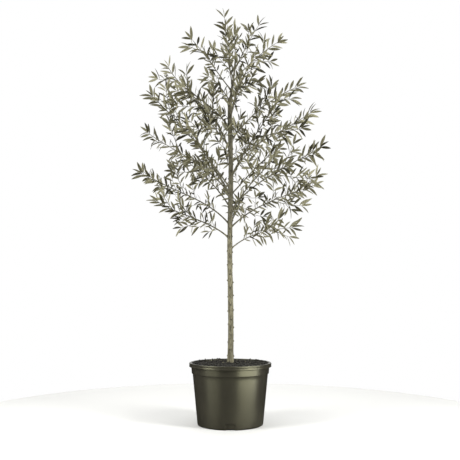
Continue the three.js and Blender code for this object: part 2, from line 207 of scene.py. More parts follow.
SPRIGS = MAIN_SHOOTS._replace(
    spacing=0.030,
    fewest=1,
    first=0.0,
    last=1.0,
    stray=0.8,
    turn_per_parent=0,
    spread_foot=58,
    spread_tip=50,
    length_foot=0.30,
    length_tip=0.26,
    least_parent=0.1,
    lift=16,
    bare=0.25,
    foot_radius=0.0014,
    tip_radius=0.0008,
    leaf_size=0.9,
    draw=36,
)
TWIGS = MAIN_SHOOTS._replace(
    spacing=0.09,
    fewest=1,
    first=0.3,
    last=0.7,
    stray=0.5,
    turn=160.0,
    turn_stray=60,
    turn_per_parent=95,
    spread_foot=50,
    spread_tip=36,
    length_foot=0.5,
    length_tip=0.36,
    shortest=0.6,
    longest=1.15,
    least_parent=0.12,
    lift=10,
    bare=0.14,
    foot_radius=0.0011,
    tip_radius=0.0007,
    leaf_size=0.85,
    draw=22,
)


# ---- numbers and directions ----


def linear(red, green, blue):
    """A colour's screen values, from 0 to 255, as the linear values of a shader, by the sRGB curve."""
    screen = (red, green, blue)
    return tuple(v / 3294.6 if v <= 10 else ((v / 255 + 0.055) / 1.055) ** 2.4 for v in screen)


def between(start, end, share):
    """The value at a share of the way from start to end."""
    return start + (end - start) * share


def smooth(value, low, high):
    """0 below low, 1 above high, and the cubic 3s^2 - 2s^3 between them."""
    share = np.clip((value - low) / (high - low), 0, 1)
    return share * share * (3 - 2 * share)


def bump(offset, width):
    """A bell curve: exp(-(offset / width)^2)."""
    return np.exp(-((offset / width) ** 2))


def unit(vectors):
    """The vectors, each divided by its length."""
    return vectors / np.linalg.norm(vectors, axis=-1, keepdims=True)


def chance(limb, shoot, leaf, draw):
    """Numbers from 0 to 1, always the same for the same limb, shoot, leaf and draw: the fraction of a steep
    sine. The draw is a number of its own for each thing that is left to chance."""
    wave = np.sin(SEED + 12.9898 * limb + 78.233 * shoot + 37.719 * leaf + 4.581 * draw) * 43758.5453
    return wave - np.floor(wave)


def either_side(limb, shoot, leaf, draw):
    """The same draw, spread from -1 to 1."""
    return 2 * chance(limb, shoot, leaf, draw) - 1


def cell_noise(points, seed):
    """Random numbers on a cubic lattice, one unit apart, blended with 3s^2 - 2s^3 between its points."""
    cell = np.floor(points)
    share = smooth(points - cell, 0, 1)
    total = np.zeros(points.shape[:-1])
    for corner in range(8):
        step = np.array([corner & 1, corner >> 1 & 1, corner >> 2 & 1])
        lattice = cell + step
        weight = np.prod(np.where(step, share, 1 - share), axis=-1)
        total += weight * chance(lattice[..., 0], lattice[..., 1], lattice[..., 2], seed)
    return total


def layered_noise(points, seed, layers=3):
    """Cell noise from -1 to 1, with each further layer twice as fine and half as strong."""
    total, strength = np.zeros(points.shape[:-1]), 0
    for layer in range(layers):
        total += (2 * cell_noise(points * 2**layer, seed + layer) - 1) / 2**layer
        strength += 1 / 2**layer
    return total / strength


def directions(bearing, rise):
    """Unit vectors along a bearing and a rise, level across it, and up from it. X, Y, Z come last."""
    b, r = np.radians(bearing), np.radians(rise)
    along = np.stack([np.cos(r) * np.cos(b), np.cos(r) * np.sin(b), np.sin(r)], -1)
    across = np.stack([-np.sin(b), np.cos(b), 0 * b], -1)
    lift = np.stack([-np.sin(r) * np.cos(b), -np.sin(r) * np.sin(b), np.cos(r)], -1)
    return along, across, lift


def branch_off(axes, spread, roll):
    """The direction that leaves the first of three axes by a spread, to the side that a roll gives."""
    along, across, lift = axes
    s, t = np.radians(spread)[..., None], np.radians(roll)[..., None]
    return np.cos(s) * along + np.sin(s) * (np.cos(t) * across + np.sin(t) * lift)


def bearing_of(vectors):
    return np.degrees(np.arctan2(vectors[..., 1], vectors[..., 0]))


def rise_of(vectors):
    return np.degrees(np.arcsin(np.clip(vectors[..., 2], -1, 1)))


def counted(counts):
    """For each of several counts, its index and the numbers from 0 up to it, as two flat arrays."""
    owner = np.repeat(np.arange(len(counts)), counts)
    number = np.arange(counts.sum()) - np.repeat(np.cumsum(counts) - counts, counts)
    return owner, number


# ---- limbs ----


def trunk_middle(height):
    """The trunk's axis: a slight sway, by the sine and cosine of the height, and a lean of the leader."""
    turn = 2 * math.pi * (height - TRUNK_FOOT) / TRUNK_SWAY_PITCH
    lean = TRUNK_LEAN * smooth(height, TRUNK_HEADING - HEADING_BLEND, TRUNK_TIP)
    return np.stack([TRUNK_SWAY * np.sin(turn) + lean, TRUNK_SWAY * (np.cos(turn) - 1), height], -1)


def trunk_radius(height):
    """A straight taper up to the heading, a slimmer one above it, and a root flare that falls off as
    exp(-h)."""
    below, above = height - TRUNK_FOOT, height - TRUNK_HEADING
    main = between(TRUNK_FOOT_RADIUS, TRUNK_HEADING_RADIUS, below / (TRUNK_HEADING - TRUNK_FOOT))
    leader = between(LEADER_RADIUS, LEADER_TIP_RADIUS, above / (TRUNK_TIP - TRUNK_HEADING))
    headed = smooth(height, TRUNK_HEADING - HEADING_BLEND / 2, TRUNK_HEADING + HEADING_BLEND / 2)
    return between(main, leader, headed) + FLARE * np.exp(-below / FLARE_HEIGHT)


class Axes:
    """Many limb axes at once. Each walks from its start in equal steps, at a rise that follows a parabola
    through its three given rises, and at a bearing that sways with the cosine of the share walked. Each is
    carried past its length by its growth."""

    STEPS = 24

    def __init__(self, start, bearing, rises, length, sway, growth):
        self.bearing, self.rises, self.length, self.sway = bearing, rises, length, sway
        self.end = 1 + growth / length
        steps = math.ceil(self.STEPS * self.end.max()) + 1
        owner = np.repeat(np.arange(len(length)), steps)
        share = np.tile((np.arange(steps) + 0.5) / self.STEPS, len(length))
        along = self.frame_at(owner, share)[0].reshape(len(length), steps, 3)
        walk = np.cumsum(along * (length / self.STEPS)[:, None, None], axis=1)
        self.points = np.concatenate([start[:, None], start[:, None] + walk], axis=1)

    def frame_at(self, owner, share):
        start, middle, end = self.rises[owner].T
        bend = 2 * (start + end - 2 * middle)
        rise = start + share * (end - start - bend + bend * share)
        return directions(self.bearing[owner] + self.sway[owner] * np.cos(np.pi * share), rise)

    def point_at(self, owner, share):
        step = share * self.STEPS
        index = np.floor(step).astype(int)
        low, high = self.points[owner, index], self.points[owner, index + 1]
        return between(low, high, (step - index)[..., None])


def of_boughs(field):
    """One field of all the boughs, as an array."""
    return np.array([getattr(bough, field) for bough in BOUGHS], float)


def bough_axes(growth):
    """The axes of all the boughs, from the trunk's middle at each fork."""
    fork, bearing, length = (of_boughs(field) for field in ("fork", "bearing", "length"))
    sway = BOUGH_SWAY * either_side(np.arange(len(BOUGHS)), 0, 0, 1)
    return Axes(trunk_middle(fork), bearing, of_boughs("rises"), length, sway, np.full(len(BOUGHS), growth))


class Limbs(NamedTuple):
    """One order of leafy limbs."""

    axes: Axes
    bough: np.ndarray  # the index of the bough that each belongs to
    bare: np.ndarray  # the share of each that bears no leaves
    foot_radius: float
    tip_radius: float
    leaf_size: float  # as a share of the full size


def sprout(parents, bare, rule, density, own_bough=None):
    """Side shoots by one rule. Each leaves its parent by a spread that narrows and a length that shrinks
    towards the parent's tip, a fixed turn round from the one before. Density is how many times as many
    there are as the rule gives: parents of density 0 bear none. A shoot whose tip is outside its own
    bough's space is left out. own_bough is the bough of each parent. Without it, each shoot goes with the
    bough that its tip is nearest to."""
    leafy = parents.length * (1 - bare)
    counts = np.floor(leafy * density / rule.spacing + 0.5).astype(int)
    counts = np.maximum(rule.fewest, counts) * (density > 0)
    parent, number = counted(counts)
    stray = rule.stray * chance(parent, number, 0, rule.draw)
    onward = between(rule.first, rule.last, (number + stray) / counts[parent])
    share = between(bare[parent], 1, onward)
    turn = rule.turn * number + rule.turn_stray * chance(parent, number, 0, rule.draw + 1)
    turn = turn + rule.turn_per_parent * parent
    spread = between(rule.spread_foot, rule.spread_tip, onward)
    away = branch_off(parents.frame_at(parent, share), spread, turn)
    length = between(rule.length_foot, rule.length_tip, onward)
    length = length * np.maximum(parents.length[parent], rule.least_parent)
    length = length * between(rule.shortest, rule.longest, chance(parent, number, 0, rule.draw + 2))
    rise = rise_of(away)
    rises = np.stack([rise, rise + rule.lift / 2, rise + rule.lift], -1)
    start = parents.point_at(parent, share)
    apart = apart_from_boughs(start + away * length[:, None])
    bough = apart.argmin(axis=1) if own_bough is None else own_bough[parent]
    kept = in_own_space(apart, bough)
    still = np.zeros(kept.sum())
    axes = Axes(start[kept], bearing_of(away[kept]), rises[kept], length[kept], still, still)
    leafless = np.full(kept.sum(), rule.bare)
    return Limbs(axes, bough[kept], leafless, rule.foot_radius, rule.tip_radius, rule.leaf_size)


def apart_from_boughs(places):
    """How far each place is from each bough, as a table."""
    axes = bough_axes(0.0).points
    return np.linalg.norm(places[:, None, None] - axes[None], axis=-1).min(axis=2)


def in_own_space(apart, bough):
    """Whether each place is nearer to its own bough than to any other, or not much further."""
    own = apart[np.arange(len(bough)), bough]
    others = apart.copy()
    others[np.arange(len(bough)), bough] = np.inf
    return own < OWN_SPACE * others.min(axis=1)


def grow():
    """The boughs, and four finer orders: main shoots, short spurs between them, twigs on the shoots, and
    sprigs on the trunk."""
    stems, bough = bough_axes(TIP_GROWTH), np.arange(len(BOUGHS))
    bare, fork = of_boughs("bare"), of_boughs("fork")
    lush = between(LOW_SPURS, HIGH_SPURS, smooth(fork, LOW_CROWN, HIGH_CROWN))
    lush = lush * (stems.length > SPURRED_LENGTH)
    facing = between(HIGH_FACING, UPPER_FACING, smooth(fork, HIGH_CROWN, UPPER_CROWN))
    lush = lush * between(facing, 1, np.abs(np.cos(np.radians(stems.bearing))))
    leafless = np.maximum(bare * INNER_BARE, LEAST_BARE)
    boughs = Limbs(stems, bough, leafless, BOUGH_FOOT_RADIUS, BOUGH_TIP_RADIUS, 1.0)
    shoots = sprout(stems, bare, MAIN_SHOOTS, np.ones(len(BOUGHS)), bough)
    spurs = sprout(stems, bare * INNER_BARE, SPUR_SHOOTS, lush, bough)
    twiggy = 1.0 * (shoots.axes.length > TWIGGY_LENGTH)
    twigs = sprout(shoots.axes, shoots.bare, TWIGS, twiggy, shoots.bough)
    low, high = SPRIGGED
    upright, alone = np.full((1, 3), 90.0), np.zeros(1)
    leader = Axes(trunk_middle(np.array([low])), alone, upright, np.array([high - low]), alone, alone)
    sprigs = sprout(leader, alone, SPRIGS, np.ones(1))
    return boughs, shoots, spurs, twigs, sprigs


# ---- meshes ----


def mesh_object(name, vertices, faces, materials, face_material=None, sharp=None):
    """A mesh object at the origin from an array of vertices and a list of face arrays, each with its own
    number of corners. sharp is a function of the edges' vertex indices that marks the hard ones."""
    mesh = bpy.data.meshes.new(name)
    corners = np.concatenate([f.reshape(-1) for f in faces]).astype(np.int32)
    sizes = np.concatenate([np.full(len(f), f.shape[1]) for f in faces])
    mesh.vertices.add(len(vertices))
    mesh.vertices.foreach_set("co", vertices.astype(np.float32).reshape(-1))
    mesh.loops.add(len(corners))
    mesh.loops.foreach_set("vertex_index", corners)
    mesh.polygons.add(len(sizes))
    mesh.polygons.foreach_set("loop_start", (np.cumsum(sizes) - sizes).astype(np.int32))
    for material in materials:
        mesh.materials.append(material)
    if face_material is not None:
        mesh.polygons.foreach_set("material_index", face_material.astype(np.int32))
    mesh.update(calc_edges=True)
    mesh.polygons.foreach_set("use_smooth", np.ones(len(sizes), bool))
    if sharp is not None:
        edges = np.empty(len(mesh.edges) * 2, np.int32)
        mesh.edges.foreach_get("vertices", edges)
        marks = mesh.attributes.new("sharp_edge", "BOOLEAN", "EDGE")
        marks.data.foreach_set("value", sharp(edges.reshape(-1, 2)))
    if mesh.validate():
        raise RuntimeError(f"{name}: its mesh was not sound")
    item = bpy.data.objects.new(name, mesh)
    bpy.context.scene.collection.objects.link(item)
    return item


def skin(rings, ends):
    """Vertices and faces of closed skins. rings holds, for each skin, its rings of points along it, and ends
    the points that close its two ends. The faces are the side quads of all the skins, and then the fans at
    all their starts and all their ends."""
    count, ring_count, sides = rings.shape[:3]
    size = ring_count * sides + 2
    vertices = np.concatenate([rings.reshape(count, -1, 3), ends], axis=1).reshape(-1, 3)
    base = (np.arange(count) * size)[:, None]
    side = np.arange(sides)
    onward = (side + 1) % sides
    step = (np.arange(ring_count - 1) * sides)[:, None]
    quad = np.stack([step + side, step + onward, step + sides + onward, step + sides + side], -1)
    start = np.stack([np.full(sides, size - 2), onward, side], -1)
    last = (ring_count - 1) * sides
    end = np.stack([np.full(sides, size - 1), last + side, last + onward], -1)
    quads = (base[..., None] + quad.reshape(1, -1, 4)).reshape(-1, 4)
    fans = np.concatenate([base[..., None] + start[None], base[..., None] + end[None]]).reshape(-1, 3)
    return vertices, [quads, fans]


ROOT_BULGE = 0.3  # how far a tube's start bulges out, in radii; its tip bulges one radius


def tubes(axes, first, radius_of, ring_count, sides):
    """Rings and ends of round tubes along many axes, each from a share of it to its end. A ring's points are
    the axis point plus the radius times the cosine across and the sine up."""
    count = len(axes.length)
    owner = np.repeat(np.arange(count), ring_count)
    share = between(first[:, None], axes.end[:, None], np.linspace(0, 1, ring_count)).reshape(-1)
    middle = axes.point_at(owner, share)
    along, across, lift = axes.frame_at(owner, share)
    turn = np.linspace(0, 2 * np.pi, sides, endpoint=False)
    outward = np.cos(turn)[:, None] * across[:, None] + np.sin(turn)[:, None] * lift[:, None]
    radius = radius_of(owner[:, None], share[:, None], middle[:, None] + 0 * outward, turn[None])
    rings = (middle[:, None] + radius[..., None] * outward).reshape(count, ring_count, sides, 3)
    nose = radius.reshape(count, ring_count, sides).mean(-1)
    middle, along = (a.reshape(count, ring_count, 3) for a in (middle, along))
    root = middle[:, 0] - along[:, 0] * nose[:, 0, None] * ROOT_BULGE
    tip = middle[:, -1] + along[:, -1] * nose[:, -1, None]
    return rings, np.stack([root, tip], axis=1)


def lathe(outline, sides, place):
    """Rings and ends of a turned shape: the outline's radii and heights at equal angles round Z, then moved
    by a function of radius, angle and height. The outline's first and last points are on the axis."""
    radius, height = outline[1:-1, 0, None], outline[1:-1, 1, None]
    angle = np.linspace(0, 2 * np.pi, sides, endpoint=False)[None]
    radius, height = place(radius + 0 * angle, angle + 0 * radius, height + 0 * angle)
    rings = np.stack([radius * np.cos(angle), radius * np.sin(angle), height], -1)[None]
    ends = np.array([[[0, 0, outline[0, 1]], [0, 0, outline[-1, 1]]]])
    return rings, ends


def line(start, end, count):
    """Points at equal steps from start up to, but not with, end."""
    share = np.arange(count)[:, None] / count
    return between(np.array([start]), np.array([end]), share)


def arc(middle, radius, start, end, count):
    """Points on a circle from one angle to another, in degrees."""
    turn = np.radians(np.linspace(start, end, count))
    return np.array([middle]) + radius * np.stack([np.cos(turn), np.sin(turn)], -1)


# ---- materials ----


class Value:
    """A number made by a node, which Python's operators carry on into Math nodes."""

    def __init__(self, shader, socket):
        self.shader, self.socket = shader, socket

    def _math(self, operation, first, second):
        return self.shader.node("ShaderNodeMath", {"operation": operation}, {0: first, 1: second})

    def __add__(self, other):
        return self._math("ADD", self, other)

    def __rsub__(self, other):
        return self._math("SUBTRACT", other, self)

    def __mul__(self, other):
        return self._math("MULTIPLY", self, other)

    __radd__ = __add__

    def ramp(self, low, high):
        """0 below low, 1 above high, and a smooth rise between them."""
        return self.shader.node(
            "ShaderNodeMapRange",
            {"interpolation_type": "SMOOTHSTEP"},
            {"Value": self, "From Min": low, "From Max": high},
        )


class Shader:
    """A material's node tree. node() makes any node, and the other methods name the common ones."""

    def __init__(self, name):
        self.material = bpy.data.materials.new(name)
        self.material.use_nodes = True
        self.tree = self.material.node_tree
        self.surface = self.tree.nodes["Principled BSDF"]

    def node(self, kind, settings=None, inputs=None, output=0):
        made = self.tree.nodes.new(kind)
        for key, value in (settings or {}).items():
            setattr(made, key, value)
        for key, value in (inputs or {}).items():
            self.feed(made.inputs[key], value)
        return Value(self, made.outputs[output])

    def feed(self, socket, value):
        if isinstance(value, Value):
            self.tree.links.new(value.socket, socket)
        elif socket.type == "RGBA":
            socket.default_value = (*value, 1)
        else:
            socket.default_value = value

    def place(self, scale=(1, 1, 1)):
        """The point on the piece, in metres, with each axis scaled."""
        point = self.node("ShaderNodeTexCoord", output="Object")
        return self.node("ShaderNodeVectorMath", {"operation": "MULTIPLY"}, {0: point, 1: scale})

    def height(self):
        """The height of the point above the floor, in metres."""
        point = self.node("ShaderNodeTexCoord", output="Object")
        return self.node("ShaderNodeSeparateXYZ", {}, {0: point}, output="Z")

    def noise(self, scale, detail=3.0, place=None, roughness=0.5):
        """Noise from 0 to 1, whose scale is its lumps in a metre and whose detail is its finer layers."""
        inputs = {"Vector": place or self.place(), "Scale": scale, "Detail": detail, "Roughness": roughness}
        return self.node("ShaderNodeTexNoise", {}, inputs)

    def mix(self, share, first, second):
        """A colour that goes from the first to the second as share goes from 0 to 1."""
        inputs = {0: share, 6: first, 7: second}
        return self.node("ShaderNodeMix", {"data_type": "RGBA"}, inputs, output=2)

    def attribute(self, name):
        return self.node("ShaderNodeAttribute", {"attribute_name": name}, output="Fac")

    def emboss(self, relief, distance, strength=1.0):
        """Turns a relief from 0 to 1 into a bump of that distance, in metres, on the surface's normal."""
        inputs = {"Height": relief, "Distance": distance, "Strength": strength}
        self.feed(self.surface.inputs["Normal"], self.node("ShaderNodeBump", {}, inputs))

    def finish(self, colour, roughness, **constants):
        self.feed(self.surface.inputs["Base Color"], colour)
        self.feed(self.surface.inputs["Roughness"], roughness)
        for key, value in constants.items():
            self.feed(self.surface.inputs[key.replace("_", " ")], value)
        return self.material


SHEEN_TINT = (1.0, 0.98, 0.62)  # warms the highlights on the plastic


def moulded_plastic(colour, dust, roughness):
    """Black moulded plastic: fine upright flow lines, a soft uneven sheen, and dust that thickens
    downwards."""
    shader = Shader("moulded_plastic")
    flow = shader.noise(60, 3, shader.place((1, 1, 0.06)))
    cloud = shader.noise(9, 4)
    settled = (1 - shader.height().ramp(0.0, 0.16)) * cloud.ramp(0.35, 0.75)
    speckle = shader.noise(420, 2).ramp(0.62, 0.8)
    dusty = settled * 0.07 + speckle * 0.03 + cloud * 0.01
    grain = shader.noise(900, 2)
    shader.emboss(flow * 0.7 + grain * 0.3, 0.00035, 0.5)
    return shader.finish(
        shader.mix(dusty, colour, dust),
        roughness + cloud * 0.1 + flow * 0.05 + settled * 0.1,
        Specular_IOR_Level=0.5,
        Specular_Tint=SHEEN_TINT,
    )


def damp_soil(colour, light):
    """Dark potting mix: brown and black grains, mottled at two sizes."""
    shader = Shader("damp_soil")
    grain = shader.noise(420, 4, roughness=0.65)
    patch = shader.noise(45, 3)
    shader.emboss(grain, 0.0016, 0.9)
    dry = grain.ramp(0.42, 0.8) * patch
    return shader.finish(shader.mix(dry, colour, light), 0.82 + grain * 0.15)


GRAIN_SHADE = 0.78  # of a plain colour, in the darkest grains


def plain(name, colour, roughness):
    """A plain colour with a fine matt grain."""
    shader = Shader(name)
    grain = shader.noise(600, 2)
    darker = tuple(c * GRAIN_SHADE for c in colour)
    return shader.finish(shader.mix(grain.ramp(0.3, 0.7), colour, darker), roughness + grain * 0.1)


# Painted shade: the bark, the boughs and the twigs go darker up in the crown, where the leaves would shade
# them.
CROWN_PAINTED_SHADE = 0.5  # how far the bark's tone goes to dark in the crown
CROWN_PAINTED_SHADE_HEIGHTS = (0.75, 1.0)  # where that sets in and is complete
BARK_RELIEF = 0.0011


def young_bark(name, light, middle, dark, streak):
    """Young olive bark: upright grey-green streaks, pale patches, dark rims round the leaf scars, fine
    cracks, and painted shade up in the crown: a darker tone where the leaves would shade the bark. streak
    is the width of a streak, as a share of its length."""
    shader = Shader(name)
    long = shader.place((1, 1, streak))
    streaks = shader.noise(260, 4, long)
    patches = shader.noise(130, 4, shader.place((1, 1, 0.3)))
    cracks = shader.noise(700, 3, long, 0.7)
    scar = shader.attribute("scar")
    tone = shader.mix(patches.ramp(0.36, 0.66), middle, light)
    tone = shader.mix(streaks.ramp(0.5, 0.72) * 0.75, tone, dark)
    tone = shader.mix(scar * 0.8, tone, dark)
    # Painted shade: towards the dark bark colour with height, up in the crown.
    tone = shader.mix(shader.height().ramp(*CROWN_PAINTED_SHADE_HEIGHTS) * CROWN_PAINTED_SHADE, tone, dark)
    shader.emboss(cracks * 0.5 + streaks * 0.5, BARK_RELIEF, 0.85)
    return shader.finish(tone, 0.72 + streaks * 0.18)


UPPER_ROUGHNESS, UNDER_ROUGHNESS = 0.6, 0.7  # of a leaf's two sides
LEAF_GLOSS = 0.2


def leaf_blade(name, colour, shade, roughness):
    """One side of a leaf: a plain tint with a faint mottle."""
    shader = Shader(name)
    mottle = shader.noise(240, 2).ramp(0.35, 0.7) * 0.6
    return shader.finish(shader.mix(mottle, colour, shade), roughness, Specular_IOR_Level=LEAF_GLOSS)


# ---- settings ----


def colour_property(name, description, default):
    return FloatVectorProperty(
        name=name, description=description, subtype="COLOR", size=3, min=0, max=1, default=default
    )


def length_property(name, description, default):
    return FloatProperty(name=name, description=description, default=default, min=0, unit="LENGTH")


def power_property(name, where, default):
    return FloatProperty(name=name, description=f"Watts of the softbox {where}", default=default, min=0)


class ContainerSettings(PropertyGroup):
    """The nursery container."""

    rim_radius: length_property("Rim radius", "Outside of the rolled lip", POT_HIGH.x)
    height: length_property("Height", "From the floor to the top of the lip", POT_HIGH.z)
    base_radius: length_property("Base radius", "Outside of the wall at the floor", 0.146)
    drain_width: length_property("Drain width", "Width of each drain recess at the foot", 0.044)
    drain_height: length_property("Drain height", "Height of each drain recess", 0.026)
    drain_depth: length_property("Drain depth", "How far each drain recess is sunk", 0.0028)
    drain_lift: length_property("Drain lift", "How far the foot is raised in a recess", 0.0026)
    drain_count: IntProperty(name="Drains", description="Number of drain recesses", default=3, min=0)
    colour: colour_property("Plastic", "Colour of the plastic", linear(51, 49, 42))
    dust: colour_property("Dust", "Colour of the dust near the foot", linear(120, 116, 98))
    roughness: FloatProperty(
        name="Roughness", description="Of the clean plastic", default=0.23, min=0, max=1, subtype="FACTOR"
    )


class SoilSettings(PropertyGroup):
    """The potting mix."""

    edge_drop: length_property("Edge drop", "How far the soil falls from the middle to the wall", 0.004)
    relief: length_property("Relief", "Height of the lumps in the surface", 0.0028)
    crumbs: IntProperty(name="Crumbs", description="Number of loose crumbs", default=1500, min=0)
    crumb_size: length_property("Crumb size", "Radius of the largest crumbs", 0.0060)
    heap: length_property("Heap", "How far the crumbs lie heaped up by the wall", 0.0055)
    colour: colour_property("Soil", "Colour of the damp soil", linear(30, 28, 20))
    light: colour_property("Dry grains", "Colour of the drier grains", linear(50, 47, 38))
    chip: colour_property("Chips", "Colour of the few pale wood chips", linear(104, 98, 76))


class BarkSettings(PropertyGroup):
    """The bark of the trunk, the boughs and the twigs."""

    scar_pitch: length_property("Scar pitch", "Height from one pair of leaf scars to the next", 0.034)
    scar_relief: length_property("Scar relief", "How far a leaf scar stands out", 0.0042)
    ridge_relief: length_property("Ridge relief", "Height of the upright ridges", 0.00075)
    light: colour_property("Light bark", "Colour of the pale patches", linear(136, 131, 104))
    middle: colour_property("Bark", "Colour of most of the bark", linear(94, 89, 66))
    # The dark bark colour is also the colour of the painted shade up in the crown.
    dark: colour_property("Dark bark", "Colour of the streaks and scars", linear(44, 41, 30))
    twig_light: colour_property("Light twigs", "Colour of the pale twigs", linear(122, 117, 90))
    twig_middle: colour_property("Twigs", "Colour of most twigs", linear(92, 87, 62))


class FoliageSettings(PropertyGroup):
    """The leaves."""

    leaf_length: length_property("Leaf length", "Length of a full-grown leaf", 0.060)
    leaf_width: length_property("Leaf width", "Width of a full-grown leaf", 0.0130)
    leaf_thickness: length_property("Leaf thickness", "Thickness of a leaf at its midrib", 0.0007)
    pair_spacing: length_property("Pair spacing", "Along a limb, from one pair of leaves on", 0.026)
    least_roll: FloatProperty(
        name="Least roll",
        description="The least that a leaf is turned about its own length, to one side or the other",
        default=math.radians(35),
        subtype="ANGLE",
    )
    most_roll: FloatProperty(
        name="Most roll",
        description="The most that a leaf is turned about its own length",
        default=math.radians(115),
        subtype="ANGLE",
    )
    # The upper tints are dealt out partly by how deep in the crown a spray is. So the deep tint is partly
    # painted shade inside the crown.
    deep: colour_property("Deep green", "Upper side of the darkest leaves", linear(38, 37, 24))
    green: colour_property("Grey green", "Upper side of most leaves", linear(74, 71, 47))
    pale: colour_property("Pale green", "Upper side of the palest leaves", linear(107, 104, 80))
    silver: colour_property("Silver", "Underside of most leaves", linear(141, 138, 113))
    dull_silver: colour_property("Dull silver", "Underside of the other leaves", linear(105, 102, 79))


class StageSettings(PropertyGroup):
    """The camera, the floor and the lights."""

    distance: length_property("Distance", "From the camera to the trunk", 3.0)
    eye_height: length_property("Eye height", "Height of the camera", 0.568)
    side_step: FloatProperty(
        name="Side step", description="Of the camera to the right", default=-0.0014, unit="LENGTH"
    )
    tilt: FloatProperty(
        name="Tilt", description="Of the camera, up", default=math.radians(5.8), subtype="ANGLE"
    )
    lens: FloatProperty(name="Lens", description="Focal length on a 36 mm sensor", default=51.21)
    key_power: power_property("Key", "to the right", 62)
    fill_power: power_property("Fill", "to the left", 50)
    low_right_power: power_property("Low right", "low down to the right", 27)
    low_left_power: power_property("Low left", "low down to the left", 5)
    top_power: power_property("Top", "overhead", 106)
    backdrop_power: power_property("Backdrop", "behind the tree", 12)
    surround: FloatProperty(name="Surround", description="Strength of the white room", default=0.2, min=0)


# ---- pieces ----


def ride_and_stand_for(piece, slot, *nodes):
    """Fixes a piece to the tree's one body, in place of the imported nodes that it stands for."""
    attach(piece, "root")
    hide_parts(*nodes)


def nodes_named(*starts):
    return sorted(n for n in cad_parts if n.startswith(starts))


